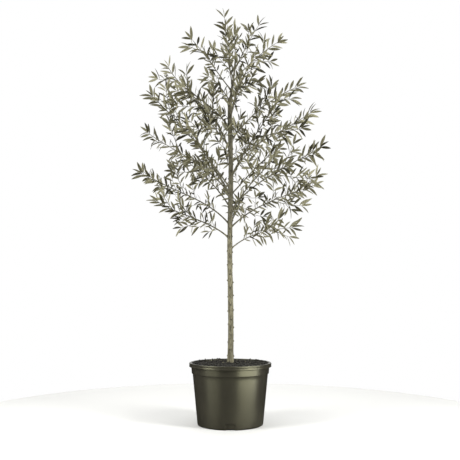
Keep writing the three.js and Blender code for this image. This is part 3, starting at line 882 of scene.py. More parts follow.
class OLIVE_OT_container(Operator):
    """Turns the nursery container: an outline of lines and arcs carried round Z, with drain recesses pressed
    into the foot. A recess is where |x / half width|^8 + |z / height|^8 is under 1, softened at its edge."""

    bl_idname = "olive.container"
    bl_label = "Container"

    SIDES = 288

    # The outline. Insets are inwards from the rim's radius or, at the foot, from the base's, and depths are
    # down from the top.
    WALL, FLOOR, PANEL = 0.0032, 0.0050, 0.0016  # the wall, the floor, and the hollow under the floor
    HUB = 0.0060  # radius of the first ring of points on the floor and under it
    PANEL_INSET, RING_INSET, RING_EDGE = 0.0260, 0.0220, 0.0050  # the hollow's edge, and the foot ring's two
    FOOT_ROUND, FOOT_ROUND_INSET = 0.0040, 0.0036
    HEEL_FOOT, HEEL_TOP = (0.0012, 0.0060), (0.0048, 0.0400)  # the wall round the recesses: outset, height
    BODY_INSET, BAND_DEPTH = 0.0154, 0.0466
    BODY_ROUND, BAND_ROUND, NECK_ROUND = 0.0005, 0.0010, 0.0012
    BAND_FOOT_INSET, BAND_TOP_INSET = 0.0114, 0.0092
    LIP_DEPTH, SHELF_LIFT = 0.0184, 0.0006  # the lip, and the ledge under it
    SHELF_INNER, SHELF_OUTER = 0.0060, 0.0024
    LIP_FOOT_ROUND, LIP_TOP_ROUND = 0.0015, 0.0030
    GROOVE_DEPTH, GROOVE_ROUND, GROOVE_OUTSET = 0.0098, 0.0007, 0.0002
    FLAT_OUTER, FLAT_INNER, FLAT_FALL = 0.0050, 0.0092, 0.0004  # the flat on top of the lip
    INNER_ROUND, INNER_ROUND_INSET, INNER_ROUND_DEPTH = 0.0018, 0.0094, 0.0024
    INNER_INSET, INNER_DEPTH = 0.0114, 0.0060
    FLOOR_INSET = 0.0075

    # The drain recesses.
    SQUARENESS = 8
    EDGE = (0.9, 1.02)  # where a recess is full and where it ends, as a share of its size
    OUTSIDE = 0.005  # how far in from the base's radius the wall's outside can be
    ARCH_SIDES, ARCH_HEIGHTS = (0.62, 0.9), (0.003, 0.009)  # where the raised foot fades, sideways and up
    ARCH_INSETS = (0.014, 0.007)  # and inwards

    def outline(self, s):
        rim, top, base = s.rim_radius, s.height, s.base_radius
        lip_foot, groove = top - self.LIP_DEPTH, top - self.GROOVE_DEPTH
        shelf = lip_foot + self.SHELF_LIFT
        band_top = (rim - self.BAND_TOP_INSET, lip_foot)
        band_foot = (rim - self.BAND_FOOT_INSET, top - self.BAND_DEPTH)
        body_top = (rim - self.BODY_INSET, top - self.BAND_DEPTH)
        heel_foot = (base + self.HEEL_FOOT[0], self.HEEL_FOOT[1])
        heel_top = (base + self.HEEL_TOP[0], self.HEEL_TOP[1])
        inner_wall = (body_top[0] - self.WALL, body_top[1])
        floor_edge = (base - self.FLOOR_INSET, self.FLOOR)
        body_round, band_round, neck_round = self.BODY_ROUND, self.BAND_ROUND, self.NECK_ROUND
        foot_round, top_round = self.LIP_FOOT_ROUND, self.LIP_TOP_ROUND
        inner_round = (rim - self.INNER_ROUND_INSET, top - self.INNER_ROUND_DEPTH)
        return np.concatenate(
            [
                [[0, self.PANEL]],
                line((self.HUB, self.PANEL), (base - self.PANEL_INSET, self.PANEL), 4),
                line((base - self.RING_INSET, 0), (base - self.RING_EDGE, 0), 3),
                arc((base - self.FOOT_ROUND_INSET, self.FOOT_ROUND), self.FOOT_ROUND, -90, -6, 6),
                line(heel_foot, heel_top, 16),
                line(heel_top, body_top, 10),
                arc((body_top[0] + body_round, body_top[1] - body_round), body_round, 180, 90, 3),
                arc((band_foot[0] - band_round, band_foot[1] + band_round), band_round, -90, 0, 5),
                line(band_foot, band_top, 8)[1:],
                arc((band_top[0] + neck_round, shelf - neck_round), neck_round, 180, 90, 4),
                line((rim - self.SHELF_INNER, shelf), (rim - self.SHELF_OUTER, shelf), 2),
                arc((rim - foot_round, shelf + foot_round), foot_round, -90, -5, 6),
                arc((rim + self.GROOVE_OUTSET, groove), self.GROOVE_ROUND, 225, 135, 5),
                arc((rim - top_round, top - top_round), top_round, 0, 90, 8),
                line((rim - self.FLAT_OUTER, top), (rim - self.FLAT_INNER, top - self.FLAT_FALL), 2),
                arc(inner_round, self.INNER_ROUND, 90, 180, 4),
                line((rim - self.INNER_INSET, top - self.INNER_DEPTH), inner_wall, 5),
                line(inner_wall, floor_edge, 6),
                line(floor_edge, (self.HUB, self.FLOOR), 4),
                [[0, self.FLOOR]],
            ]
        )

    def execute(self, context):
        s = context.scene.olive_container

        def press(radius, angle, height):
            pitch = 2 * np.pi / max(s.drain_count, 1)
            from_front = (angle + np.pi / 2 + pitch / 2) % pitch - pitch / 2
            sideways = np.abs(from_front * s.base_radius) / (s.drain_width / 2)
            upwards = np.abs(height / s.drain_height)
            edge = (sideways**self.SQUARENESS + upwards**self.SQUARENESS) ** (1 / self.SQUARENESS)
            outside = (radius > s.base_radius - self.OUTSIDE) * (s.drain_count > 0)
            recess = (1 - smooth(edge, *self.EDGE)) * outside
            arch = (1 - smooth(sideways, *self.ARCH_SIDES)) * (1 - smooth(height, *self.ARCH_HEIGHTS))
            inner, outer = (s.base_radius - inset for inset in self.ARCH_INSETS)
            arch = arch * smooth(radius, inner, outer) * (s.drain_count > 0)
            return radius - s.drain_depth * recess, height + s.drain_lift * arch

        rings, ends = lathe(self.outline(s), self.SIDES, press)
        vertices, faces = skin(rings, ends)
        material = moulded_plastic(s.colour, s.dust, s.roughness)
        piece = mesh_object("container", vertices, faces, [material])
        ride_and_stand_for(piece, "container", "pot")
        return {"FINISHED"}


SOIL_RADIUS = 0.172
LUMP_SIZE = 0.017
FLAT_MIDDLE = (0.08, 0.2)  # shares of the radius between which the lumps set in, clear of the trunk


def soil_height(x, y, s):
    """A low mound, highest round the trunk, with four layers of noise for its lumps."""
    out = np.hypot(x, y) / SOIL_RADIUS
    lumps = layered_noise(np.stack([x / LUMP_SIZE, y / LUMP_SIZE, 0 * x], -1), 3, 4)
    return SOIL_HIGH.z - s.edge_drop * out**2 + s.relief * lumps * smooth(out, *FLAT_MIDDLE)


class OLIVE_OT_soil(Operator):
    """Fills the container with soil: a turned plug whose top follows the mound and its noise, and loose
    crumbs on it. A crumb is a small globe of three rings whose points are moved in and out at random."""

    bl_idname = "olive.soil"
    bl_label = "Soil"

    SIDES = 220
    TOP_RINGS = 70
    # The plug's radius and height, from the middle of its underside up along the container's wall.
    PLUG = ((0, 0.0065), (0.137, 0.0065), (0.1625, 0.219), (0.1702, 0.2495), (0.1722, 0.2575))
    INNERMOST = 0.0005  # radius of the ring next to the middle
    ON_TOP = 1.0  # stands for the height of the points that are draped over the mound

    CRUMB_SIZES, SMALLNESS = (0.16, 1.0), 3.2  # shares of the largest, and how rare the large ones are
    CRUMBED_RADIUS = 0.170
    HEAPED_RADII = (0.148, 0.162)  # between which the crumbs by the wall begin to be heaped up
    CRUMB_LIFT = 0.35  # of a crumb's middle above the soil, in radii
    CRUMB_RINGS, CRUMB_SIDES = (48, 90, 132), 6  # degrees down from the top, and points a ring
    SQUASH, KNOBS = (0.55, 1.25), (0.7, 1.2)
    DRY_FROM, CHIP_FROM = 0.7, 0.985  # shares of the crumbs that are darker than the dry ones and the chips
    DRY_TONE = 0.55  # how far a dry crumb's colour is from the damp soil's to the dry grains'
    CRUMB_ROUGHNESS, CHIP_ROUGHNESS = 0.85, 0.7

    def plug(self, s):
        radii = np.linspace(self.PLUG[-1][0], self.INNERMOST, self.TOP_RINGS)
        top = np.stack([radii, np.full(self.TOP_RINGS, self.ON_TOP)], -1)
        outline = np.concatenate([self.PLUG, top, [[0, self.ON_TOP]]])

        def drape(radius, angle, height):
            mound = soil_height(radius * np.cos(angle), radius * np.sin(angle), s)
            return radius, np.where(height == self.ON_TOP, mound, height)

        rings, ends = lathe(outline, self.SIDES, drape)
        ends[0, 1, 2] = soil_height(np.zeros(1), np.zeros(1), s)[0]
        return skin(rings, ends)

    def crumbs(self, s, random):
        count, sides = s.crumbs, self.CRUMB_SIDES
        radius = s.crumb_size * between(*self.CRUMB_SIZES, random.random(count) ** self.SMALLNESS)
        out = np.sqrt(random.random(count)) * (self.CRUMBED_RADIUS - radius)
        turn = random.random(count) * 2 * np.pi
        x, y = out * np.cos(turn), out * np.sin(turn)
        heap = s.heap * smooth(out, *self.HEAPED_RADII)
        middle = np.stack([x, y, soil_height(x, y, s) + radius * self.CRUMB_LIFT + heap], -1)
        polar = np.radians(self.CRUMB_RINGS)[::-1, None]
        around = np.linspace(0, 2 * np.pi, sides, endpoint=False)
        level = np.sin(polar)
        ball = np.stack([level * np.cos(around), level * np.sin(around), np.cos(polar) + 0 * around], -1)
        squash = between(*self.SQUASH, random.random((count, 1, 1, 3)))
        knobs = between(*self.KNOBS, random.random((count, len(polar), sides, 1)))
        rings = middle[:, None, None] + radius[:, None, None, None] * ball * squash * knobs
        rise = radius * squash[:, 0, 0, 2]
        ends = middle[:, None] + np.array([[0, 0, -1.0], [0, 0, 1.0]])[None] * rise[:, None, None]
        return skin(rings, ends)

    def execute(self, context):
        s = context.scene.olive_soil
        vertices, faces = self.plug(s)
        soil = mesh_object("soil_surface", vertices, faces, [damp_soil(s.colour, s.light)])
        ride_and_stand_for(soil, "potting_soil", "soil")
        random = np.random.default_rng(SEED)
        vertices, faces = self.crumbs(s, random)
        kinds = np.digitize(random.random(s.crumbs), [self.DRY_FROM, self.CHIP_FROM])
        dry = between(np.array(s.colour), np.array(s.light), self.DRY_TONE)
        tones = [
            plain("dark_crumb", s.colour, self.CRUMB_ROUGHNESS),
            plain("dry_crumb", dry, self.CRUMB_ROUGHNESS),
            plain("wood_chip", s.chip, self.CHIP_ROUGHNESS),
        ]
        quads, fans = (len(f) // s.crumbs for f in faces)
        kinds = np.concatenate([np.repeat(kinds, quads), np.tile(np.repeat(kinds, fans // 2), 2)])
        crumbs = mesh_object("soil_crumbs", vertices, faces, tones, kinds)
        ride_and_stand_for(crumbs, "potting_soil", "soil")
        return {"FINISHED"}


def set_point_values(piece, name, values):
    """Stores one number for each vertex, for a material to read."""
    attribute = piece.data.attributes.new(name, "FLOAT", "POINT")
    attribute.data.foreach_set("value", values.astype(np.float32).reshape(-1))


BARK_STREAK, TWIG_STREAK = 0.12, 0.2  # the width of the bark's streaks, as a share of their length


def bark_material():
    """The bark that the trunk and the boughs share, made once."""
    made = bpy.data.materials.get("young_bark")
    if made is not None:
        return made
    s = bpy.context.scene.olive_bark
    return young_bark("young_bark", s.light, s.middle, s.dark, BARK_STREAK)


class OLIVE_OT_trunk(Operator):
    """Raises the trunk: rings round its swaying axis, whose radius is the taper and root flare plus upright
    ridges of noise, root lobes as a cosine round it, a swollen heading, and pairs of leaf scars as bell
    curves exp(-(d / width)^2), each pair a quarter turn from the last."""

    bl_idname = "olive.trunk"
    bl_label = "Trunk"

    RINGS = 600
    SIDES = 60
    BURIED = 0.008
    TOP_BULGE = 0.002

    RIDGE_WIDTH, RIDGE_LENGTH = 0.0035, 0.022
    LUMP_RELIEF, LUMP_STRETCH = 0.0006, (4.0, 4.0, 1.6)  # how many times larger lumps are than ridges
    ROOT_LOBES, ROOT_TURN, ROOT_RELIEF, ROOT_HEIGHT = 5, 1.1, 0.0013, 0.02
    HEADING_SWELL, HEADING_HEIGHT = 0.0016, 0.011

    FIRST_SCAR = 0.03  # height above the soil
    SCAR_STRAY, SCAR_TURN_STRAY = 0.24, 0.3  # in pitches, and in radians
    SCAR_SIZES = (0.6, 1.15)
    SCAR_WIDTH = 0.0034
    RIM_WIDTH, RIM_HEIGHT, RIM_DROP = 0.0042, 0.0036, 0.002

    def execute(self, context):
        s = context.scene.olive_bark
        height = np.linspace(TRUNK_FOOT - self.BURIED, TRUNK_TIP, self.RINGS)[:, None]
        angle = np.linspace(0, 2 * np.pi, self.SIDES, endpoint=False)[None]
        plain_radius = trunk_radius(np.maximum(height, TRUNK_FOOT)) + 0 * angle
        scar, rim = self.scars(height, angle, plain_radius, s)
        outward = np.stack([np.cos(angle), np.sin(angle), 0 * angle], -1)
        place = plain_radius[..., None] * outward / self.RIDGE_WIDTH
        place[..., 2] = height / self.RIDGE_LENGTH
        ridges = layered_noise(place, 11, 3)
        near_ground = np.exp(-np.maximum(height - TRUNK_FOOT, 0) / self.ROOT_HEIGHT)
        roots = np.cos(self.ROOT_LOBES * angle + self.ROOT_TURN) * self.ROOT_RELIEF * near_ground
        heading = self.HEADING_SWELL * bump(height - TRUNK_HEADING, self.HEADING_HEIGHT)
        lumps = self.LUMP_RELIEF * layered_noise(place / self.LUMP_STRETCH, 23, 2)
        radius = plain_radius + s.ridge_relief * ridges + s.scar_relief * scar + roots + heading + lumps
        middle = trunk_middle(height[:, 0])[:, None]
        rings = (middle + radius[..., None] * outward)[None]
        ends = np.stack([middle[0, 0], middle[-1, 0] + np.array([0, 0, self.TOP_BULGE])])[None]
        vertices, faces = skin(rings, ends)
        piece = mesh_object("trunk_bark", vertices, faces, [bark_material()])
        set_point_values(piece, "scar", np.append(rim.reshape(-1), [0, 0]))
        ride_and_stand_for(piece, "bark", "trunk")
        return {"FINISHED"}

    def scars(self, height, angle, radius, s):
        """The relief of all the scars, from 0 to 1, and the dark rim below each."""
        count = int((TRUNK_HEADING - TRUNK_FOOT) / s.scar_pitch)
        pair = np.arange(count)[:, None, None, None]
        side = np.arange(2)[None, :, None, None]
        turn = pair + self.SCAR_STRAY * either_side(pair, side, 0, 31)
        scar_height = TRUNK_FOOT + self.FIRST_SCAR + s.scar_pitch * turn
        turn_stray = self.SCAR_TURN_STRAY * either_side(pair, side, 0, 32)
        scar_angle = np.pi * side + np.pi / 2 * pair + turn_stray
        across = np.angle(np.exp(1j * (angle - scar_angle))) * radius
        up = height - scar_height
        size = between(*self.SCAR_SIZES, chance(pair, side, 0, 33))
        relief = bump(across, self.SCAR_WIDTH) * bump(up, self.SCAR_WIDTH) * size
        rim = bump(across, self.RIM_WIDTH) * bump(up + self.RIM_DROP, self.RIM_HEIGHT) * size
        return relief.sum((0, 1)), np.clip(rim.sum((0, 1)), 0, 1)


class OLIVE_OT_boughs(Operator):
    """Carries a round section along each bough's axis, from inside the trunk to the last twig. Its radius is
    a taper by a power of the share walked, a collar that falls off as exp(-d), a slight swelling at each
    node and fine noise."""

    bl_idname = "olive.boughs"
    bl_label = "Boughs"

    RINGS = 72
    SIDES = 10
    TWIG_TAPER = 0.45  # how much thinner the end past the bough's own length gets
    NODE_PITCH, NODE_RELIEF, NODE_LENGTH = 0.029, 0.00034, 0.003
    NODE_STEP = 0.007  # how much further out the nodes are on each next bough
    ROUGH_RELIEF, ROUGH_SIZE = 0.00026, 0.006

    def execute(self, context):
        axes = bough_axes(TIP_GROWTH)

        def radius_of(owner, share, place, turn):
            length = axes.length[owner]
            taper = between(BOUGH_FOOT_RADIUS, BOUGH_TIP_RADIUS, np.minimum(share, 1) ** BOUGH_TAPER)
            taper = taper * np.where(length < SLIM_LENGTH, SLIM_SHARE, 1.0)
            past = 1 - self.TWIG_TAPER * np.clip((share - 1) / (axes.end[owner] - 1), 0, 1)
            outside = np.maximum(0, share * length - TRUNK_HEADING_RADIUS)
            collar = BOUGH_COLLAR * np.exp(-outside / BOUGH_COLLAR_LENGTH)
            from_node = (share * length + self.NODE_STEP * owner) % self.NODE_PITCH - self.NODE_PITCH / 2
            node = self.NODE_RELIEF * bump(from_node, self.NODE_LENGTH)
            rough = self.ROUGH_RELIEF * layered_noise(place / self.ROUGH_SIZE + turn[..., None], 41, 2)
            return taper * past + collar + node + rough

        rings, ends = tubes(axes, np.zeros(len(BOUGHS)), radius_of, self.RINGS, self.SIDES)
        vertices, faces = skin(rings, ends)
        piece = mesh_object("bough_bark", vertices, faces, [bark_material()])
        set_point_values(piece, "scar", np.zeros(len(vertices)))
        ride_and_stand_for(piece, "bark", *nodes_named("bough_", "foliage_"))
        return {"FINISHED"}


class OLIVE_OT_twigs(Operator):
    """Carries a small round section along every shoot, spur, twig and sprig, with a straight taper."""

    bl_idname = "olive.twigs"
    bl_label = "Twigs"

    RINGS = 7
    SIDES = 6

    def execute(self, context):
        s = context.scene.olive_bark
        parts = []
        for limbs in grow()[1:]:

            def radius_of(owner, share, place, turn, limbs=limbs):
                onward = share / limbs.axes.end[owner]
                return between(limbs.foot_radius, limbs.tip_radius, onward) + 0 * turn

            first = np.zeros(len(limbs.axes.length))
            parts.append(tubes(limbs.axes, first, radius_of, self.RINGS, self.SIDES))
        rings, ends = (np.concatenate([p[i] for p in parts]) for i in (0, 1))
        vertices, faces = skin(rings, ends)
        bark = young_bark("twig_bark", s.twig_light, s.twig_middle, s.dark, TWIG_STREAK)
        piece = mesh_object("twigs", vertices, faces, [bark])
        set_point_values(piece, "scar", np.zeros(len(vertices)))
        ride_and_stand_for(piece, "bark", *nodes_named("foliage_"))
        return {"FINISHED"}


class Leaves(NamedTuple):
    """Arrays with one entry for each leaf."""

    root: np.ndarray
    direction: np.ndarray
    roll: np.ndarray  # degrees
    size: np.ndarray
    curl: np.ndarray  # how far the blade turns over, away from its upper side, by its tip: in radians
    droop: np.ndarray  # how far it hangs by its tip, in radians
    bough: np.ndarray
    tint: np.ndarray
    at_tip: np.ndarray  # whether it stands at a bough's own tip

    def only(self, chosen):
        return Leaves(*(values[chosen] for values in self))


TINTS = 3  # of the upper side
CROWN_MIDDLE = np.array([0, 0, 1.32])
CROWN_REACH = np.array([0.468, 0.468, 0.62])  # from its middle to its outside, along each axis
SPRAYS = 15  # along one limb
# Painted shade: the weight of how far out a leaf is, which gives the sprays inside the crown darker tints.
PAINTED_SHADE_WEIGHT, DRAW_WEIGHT, TINT_START = 0.66, 0.95, -0.375


def spray_tint(key, share, root):
    """The tint of each leaf's spray: 0, deep, mostly inside the crown, to 2, pale, mostly at its outside. It
    is a weighted sum of how far out the leaf is, as a share of the crown's reach, and a random draw. The
    first
    term is painted shade: leaves deep in the crown get darker tints, as if shaded by the leaves round them."""
    outward = np.linalg.norm((root - CROWN_MIDDLE) / CROWN_REACH, axis=1)
    draw = chance(key, np.floor(share * SPRAYS), 0, 59)
    # The first term paints shade inside the crown. The random draw gives the leaves' own spread of tones.
    paleness = PAINTED_SHADE_WEIGHT * outward + DRAW_WEIGHT * draw + TINT_START
    return np.clip(np.floor(TINTS * paleness), 0, TINTS - 1).astype(int)


UPRIGHT = 90  # degrees round a limb
PAIR_TURN, PAIR_TURN_STRAY = 28, 18  # pairs stand to one side of upright and to the other by turns
PAIR_SPREAD, PAIR_SPREAD_STRAY = (60, 46), 10  # off the limb, at its foot and its tip
PAIR_SIZES, FULL_SIZED_FROM = (0.62, 1.0), 0.85  # at the foot, and from that share of the limb on
PAIR_SIZE_STRAY = (0.84, 1.12)
UPTURN = 0.25  # how much each leaf's direction is bent upwards, as a share of its length
CURL, DROOP = (-0.2, 0.5), (0.1, 0.85)  # radians, the least and the most
# The tuft at a limb's tip: how far round it each leaf stands, its angle off it and its size.
TUFT = np.array([(45, 7, 0.85), (0, 36, 1.0), (180, 38, 0.94)])
TUFT_TURN_STRAY, TUFT_SPREAD_STRAY, TUFT_SIZE_STRAY = 25, 6, (0.85, 1.1)
TUFT_DEPTH = 0.002  # how far before the tip it stands
ORDER_KEYS, SIDE_KEYS, TUFT_KEYS = 100, 50, 30  # keep the draws of orders, sides and tufts apart


def leaves_on(limbs, order, s):
    """Pairs of leaves along every limb of one order, opposite each other and turned to one side and the
    other by turns, and a tuft at its tip. Leaves are smaller towards the foot of the limb, and lie closer to
    it towards its tip."""
    axes = limbs.axes
    leafy = axes.length * (axes.end - limbs.bare)
    counts = np.maximum(1, np.floor(leafy / s.pair_spacing + 0.5).astype(int))
    limb, pair = counted(np.repeat(counts, 2))
    limb, side = limb // 2, limb % 2
    key = limb + ORDER_KEYS * order
    onward = (pair + 0.5) / counts[limb]
    share = between(limbs.bare[limb], axes.end[limb], onward)
    turn = PAIR_TURN * (1 - 2 * (pair % 2)) + PAIR_TURN_STRAY * either_side(key, pair, 0, 51)
    spread = between(*PAIR_SPREAD, onward) + PAIR_SPREAD_STRAY * either_side(key, pair, side, 52)
    size = between(*PAIR_SIZES, smooth(onward, 0, FULL_SIZED_FROM))
    size = size * between(*PAIR_SIZE_STRAY, chance(key, pair, side, 53))
    pairs = (limb, share, spread, UPRIGHT + 180 * side + turn, size, pair + SIDE_KEYS * side)

    limb, leaf = counted(np.full(len(axes.length), len(TUFT)))
    key = limb + ORDER_KEYS * order
    turn = TUFT[leaf, 0] + TUFT_TURN_STRAY * either_side(key, leaf, 0, 54)
    spread = TUFT[leaf, 1] + TUFT_SPREAD_STRAY * either_side(key, leaf, 0, 55)
    size = TUFT[leaf, 2] * between(*TUFT_SIZE_STRAY, chance(key, leaf, 0, 56))
    share = axes.end[limb] - TUFT_DEPTH / axes.length[limb]
    tufts = (limb, share, spread, UPRIGHT + turn, size, leaf + TUFT_KEYS)

    # The tufts come first, so that they keep their place where leaves are thinned.
    limb, share, spread, around, size, leaf = (np.concatenate(both) for both in zip(tufts, pairs))
    key = limb + ORDER_KEYS * order
    root = axes.point_at(limb, share)
    away = branch_off(axes.frame_at(limb, share), spread, around)
    side = np.where(chance(key, leaf, 1, 60) < 0.5, -1, 1)
    return Leaves(
        root=root,
        direction=unit(away + np.array([0, 0, UPTURN])),
        roll=side * np.degrees(between(s.least_roll, s.most_roll, chance(key, leaf, 1, 57))),
        size=size * limbs.leaf_size,
        curl=between(*CURL, chance(key, leaf, 2, 58)),
        droop=between(*DROOP, chance(key, leaf, 2, 62)),
        bough=limbs.bough[limb],
        tint=spray_tint(key, share, root),
        at_tip=(np.arange(len(leaf)) < len(tufts[0])) & (order == 0),
    )


LEAF_ROOM, LEAVES_PER_ROOM = 0.0245, 1  # side of a cube, and the most leaves with their middle in it


def has_room(places, side, most):
    """Whether each place is among the first so many in its own cube of a lattice, so that nothing crowds."""
    cube = np.unique(np.floor(places / side), axis=0, return_inverse=True)[1].reshape(-1)
    order = np.argsort(cube, kind="stable")
    first = np.searchsorted(cube[order], cube[order])
    kept = np.empty(len(places), bool)
    kept[order] = np.arange(len(places)) - first < most
    return kept


LEAF_SIDES = 4
LEAF_STATIONS = np.array([0.0, 0.08, 0.2, 0.38, 0.58, 0.78, 0.92])  # shares of the length, up to the tip
LEAF_THICKNESS = np.array([1.0, 1.0, 1.0, 0.9, 0.8, 0.6, 0.4])  # there, as shares of the full thickness
LEAF_STALK, STALK_WIDTH = 0.05, 0.11  # as shares of the leaf's length and of its width
LEAF_FOLD = 0.3  # rise of the blade's edges over its midrib, as a share of its half width


def leaf_rings(leaves, s):
    """Each blade is a closed skin of four points a ring: an edge, the upper midrib, the other edge and the
    lower midrib. Its half width is sin(pi u^0.95)^0.8 past a short stalk, its spine is a parabola that turns
    over and hangs towards its tip, and its two halves fold up along the midrib."""
    past_stalk = np.clip((LEAF_STATIONS - LEAF_STALK) / (1 - LEAF_STALK), 0, 1)
    width = np.maximum(STALK_WIDTH, np.sin(np.pi * past_stalk**0.95) ** 0.8) * s.leaf_width / 2
    thick = LEAF_THICKNESS * s.leaf_thickness / 2
    axes = directions(bearing_of(leaves.direction), rise_of(leaves.direction))
    quarter = np.full(len(leaves.roll), 90.0)
    across = branch_off(axes, quarter, leaves.roll)[:, None]
    lift = branch_off(axes, quarter, leaves.roll + quarter)[:, None]
    along = leaves.direction[:, None]
    down = along * along[..., 2:] - np.array([0, 0, 1.0])
    bend = leaves.droop[:, None, None] * down - leaves.curl[:, None, None] * lift
    length = (s.leaf_length * leaves.size)[:, None, None]

    def spine(share):
        share = share[None, :, None]
        return leaves.root[:, None] + length * (along * share + bend * share**2 / 2)

    middle = spine(LEAF_STATIONS)
    up = lift + along * leaves.curl[:, None, None] * LEAF_STATIONS[None, :, None]
    size = leaves.size[:, None, None]
    wide = across * width[None, :, None] * size
    deep = up * thick[None, :, None] * size
    raised = up * width[None, :, None] * size * LEAF_FOLD
    rings = np.stack([middle + wide + raised, middle + deep, middle - wide + raised, middle - deep], axis=2)
    tip = spine(np.array([1.0]))[:, 0]
    return rings, np.stack([leaves.root, tip], axis=1)


class OLIVE_OT_leaves(Operator):
    """Sets leaves on every limb and joins them into one piece for each side of the crown. A leaf's half
    width is sin(pi u^0.95)^0.8. Each spray has one of three tints above and one of two silvers below."""

    bl_idname = "olive.leaves"
    bl_label = "Leaves"

    # The colour of each side of a leaf, and of its mottle: the three tints above, then the two silvers.
    TONES = (
        ("deep", "green", UPPER_ROUGHNESS),
        ("green", "deep", UPPER_ROUGHNESS),
        ("pale", "green", UPPER_ROUGHNESS),
        ("silver", "dull_silver", UNDER_ROUGHNESS),
        ("dull_silver", "pale", UNDER_ROUGHNESS),
    )

    def execute(self, context):
        s = context.scene.olive_foliage
        blades = [
            leaf_blade("leaf_" + tone, getattr(s, tone), getattr(s, mottle), roughness)
            for tone, mottle, roughness in self.TONES
        ]
        orders = [leaves_on(limbs, order, s) for order, limbs in enumerate(grow())]
        leaves = Leaves(*(np.concatenate(values) for values in zip(*orders)))
        middle = leaves.root + leaves.direction * leaves.size[:, None] * s.leaf_length / 2
        kept = has_room(middle, LEAF_ROOM, LEAVES_PER_ROOM) | leaves.at_tip
        leaves = leaves.only(kept)
        parts = np.array([bough.name.split("_")[0] for bough in BOUGHS])
        for part in sorted(set(parts)):
            self.join(part, leaves.only(parts[leaves.bough] == part), blades, s)
        return {"FINISHED"}

    def join(self, part, leaves, blades, s):
        """Makes one piece of some leaves. The first two of a blade's four sides are its upper ones."""
        vertices, faces = skin(*leaf_rings(leaves, s))
        upper = np.arange(LEAF_SIDES) < LEAF_SIDES // 2
        above, below = leaves.tint, TINTS + leaves.tint % 2
        by_side = np.where(upper[None], above[:, None], below[:, None])
        segments = len(LEAF_STATIONS) - 1
        quads = np.repeat(by_side[:, None], segments, axis=1).reshape(-1)
        fans = np.tile(by_side.reshape(-1), 2)
        size = len(LEAF_STATIONS) * LEAF_SIDES + 2

        def rim(edges):
            """Whether both ends of each edge are at one of the blade's two edges, or at its tip or root."""
            place = edges % size
            at_rim = (place % 2 == 0) | (place >= size - 2)
            return at_rim.all(axis=1)

        tints = np.concatenate([quads, fans])
        piece = mesh_object("leaves_" + part, vertices, faces, blades, tints, rim)
        ride_and_stand_for(piece, "leaves", *nodes_named("foliage_" + part))


class Softbox(NamedTuple):
    """A rectangular area light, turned towards a point. Metres."""

    name: str
    power: str  # the setting that holds its watts
    size: tuple
    place: tuple
    aim: tuple
    glint: bool = False  # whether it only shows as a reflection


SOFTBOXES = (
    Softbox("key_right", "key_power", (0.6, 1.8), (1.8, -1.2, 1.45), (0, 0, 1.0)),
    Softbox("fill_left", "fill_power", (0.8, 1.8), (-1.8, -1.0, 1.45), (0, 0, 1.0)),
    Softbox("low_right", "low_right_power", (1.5, 0.7), (1.04, -0.78, 0.14), (0, 0, 0.14), glint=True),
    Softbox("low_left", "low_left_power", (0.94, 1.0), (-1.04, -0.74, 0.19), (0, 0, 0.19), glint=True),
    Softbox("backdrop", "backdrop_power", (2.4, 1.6), (0, 2.2, 1.0), (0, 0, 0.8)),
    Softbox("overhead", "top_power", (5.0, 5.0), (0, 0.8, 3.6), (0, 0.8, 0.6)),
)


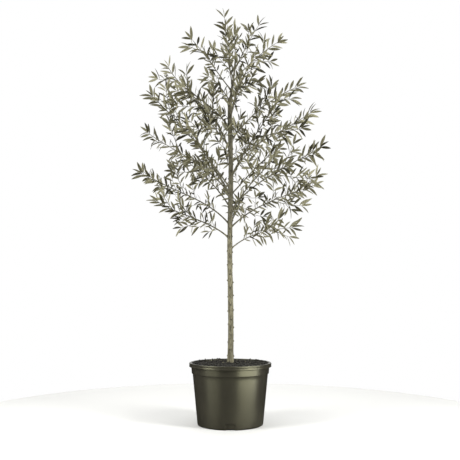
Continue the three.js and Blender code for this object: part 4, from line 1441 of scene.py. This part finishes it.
class OLIVE_OT_stage(Operator):
    """Sets the pale floor, the white room, the softboxes and the camera."""

    bl_idname = "olive.stage"
    bl_label = "Stage"

    FLOOR_RADIUS = 1.4
    FLOOR_SIDES = 128
    FLOOR_COLOUR, FLOOR_ROUGHNESS = linear(239, 239, 236), 0.85
    SENSOR_WIDTH = 36  # millimetres

    def execute(self, context):
        scene, s = context.scene, context.scene.olive_stage
        self.lay_floor()
        self.light_room(scene, s)
        for softbox in SOFTBOXES:
            self.hang(softbox, scene, s)
        self.place_camera(scene, s)
        return {"FINISHED"}

    def lay_floor(self):
        turn = np.linspace(0, 2 * np.pi, self.FLOOR_SIDES, endpoint=False)
        edge = self.FLOOR_RADIUS * np.stack([np.cos(turn), np.sin(turn), 0 * turn], -1)
        paper = plain("pale_floor", self.FLOOR_COLOUR, self.FLOOR_ROUGHNESS)
        floor = mesh_object("floor", edge, [np.arange(self.FLOOR_SIDES)[None]], [paper])
        floor.visible_glossy = False

    def light_room(self, scene, s):
        """A white world that shows fully to the camera, lights matt surfaces weakly and isn't reflected."""
        room = bpy.data.worlds.new("white_room")
        room.use_nodes = True
        tree = room.node_tree
        background = tree.nodes["Background"]
        background.inputs["Color"].default_value = (1, 1, 1, 1)
        seen = tree.nodes.new("ShaderNodeLightPath")
        lit = tree.nodes.new("ShaderNodeMath")
        lit.operation = "MULTIPLY_ADD"
        tree.links.new(seen.outputs["Is Diffuse Ray"], lit.inputs[0])
        lit.inputs[1].default_value = s.surround
        tree.links.new(seen.outputs["Is Camera Ray"], lit.inputs[2])
        tree.links.new(lit.outputs[0], background.inputs["Strength"])
        scene.world = room
        scene.view_settings.view_transform = "Standard"

    def hang(self, softbox, scene, s):
        light = bpy.data.lights.new(softbox.name, "AREA")
        light.shape = "RECTANGLE"
        light.size, light.size_y = softbox.size
        light.energy = getattr(s, softbox.power)
        box = bpy.data.objects.new(softbox.name, light)
        box.location = softbox.place
        toward = np.array(softbox.aim) - np.array(softbox.place)
        flat = math.hypot(toward[0], toward[1])
        box.rotation_euler = (math.atan2(flat, -toward[2]), 0, math.atan2(-toward[0], toward[1]))
        box.visible_camera = False
        box.visible_diffuse = not softbox.glint
        scene.collection.objects.link(box)

    def place_camera(self, scene, s):
        lens = bpy.data.cameras.new("camera")
        lens.sensor_width, lens.lens = self.SENSOR_WIDTH, s.lens
        camera = bpy.data.objects.new("camera", lens)
        camera.location = (s.side_step, -s.distance, s.eye_height)
        camera.rotation_euler = (math.pi / 2 + s.tilt, 0, 0)
        scene.collection.objects.link(camera)
        scene.camera = camera


class OLIVE_PT_tree(Panel):
    """Lists the pieces of the tree and their settings."""

    bl_idname = "OLIVE_PT_tree"
    bl_label = "Olive Tree"
    bl_space_type = "VIEW_3D"
    bl_region_type = "UI"
    bl_category = "Olive Tree"

    def draw(self, context):
        for operator in PIECES:
            self.layout.operator(operator.bl_idname)
        for name, group in SETTINGS.items():
            box = self.layout.box()
            for key in group.__annotations__:
                box.prop(getattr(context.scene, name), key)


SETTINGS = {
    "olive_container": ContainerSettings,
    "olive_soil": SoilSettings,
    "olive_bark": BarkSettings,
    "olive_foliage": FoliageSettings,
    "olive_stage": StageSettings,
}
PIECES = (
    OLIVE_OT_container,
    OLIVE_OT_soil,
    OLIVE_OT_trunk,
    OLIVE_OT_boughs,
    OLIVE_OT_twigs,
    OLIVE_OT_leaves,
    OLIVE_OT_stage,
)


def register():
    for group in SETTINGS.values():
        bpy.utils.register_class(group)
    for name, group in SETTINGS.items():
        setattr(bpy.types.Scene, name, PointerProperty(type=group))
    for operator in PIECES:
        bpy.utils.register_class(operator)
    bpy.utils.register_class(OLIVE_PT_tree)


def unregister():
    bpy.utils.unregister_class(OLIVE_PT_tree)
    for operator in reversed(PIECES):
        bpy.utils.unregister_class(operator)
    for name, group in SETTINGS.items():
        delattr(bpy.types.Scene, name)
        bpy.utils.unregister_class(group)


def main():
    """Builds every piece in order."""
    register()
    bpy.ops.olive.container()
    bpy.ops.olive.soil()
    bpy.ops.olive.trunk()
    bpy.ops.olive.boughs()
    bpy.ops.olive.twigs()
    bpy.ops.olive.leaves()
    bpy.ops.olive.stage()
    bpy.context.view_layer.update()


if __name__ == "__main__":
    main()
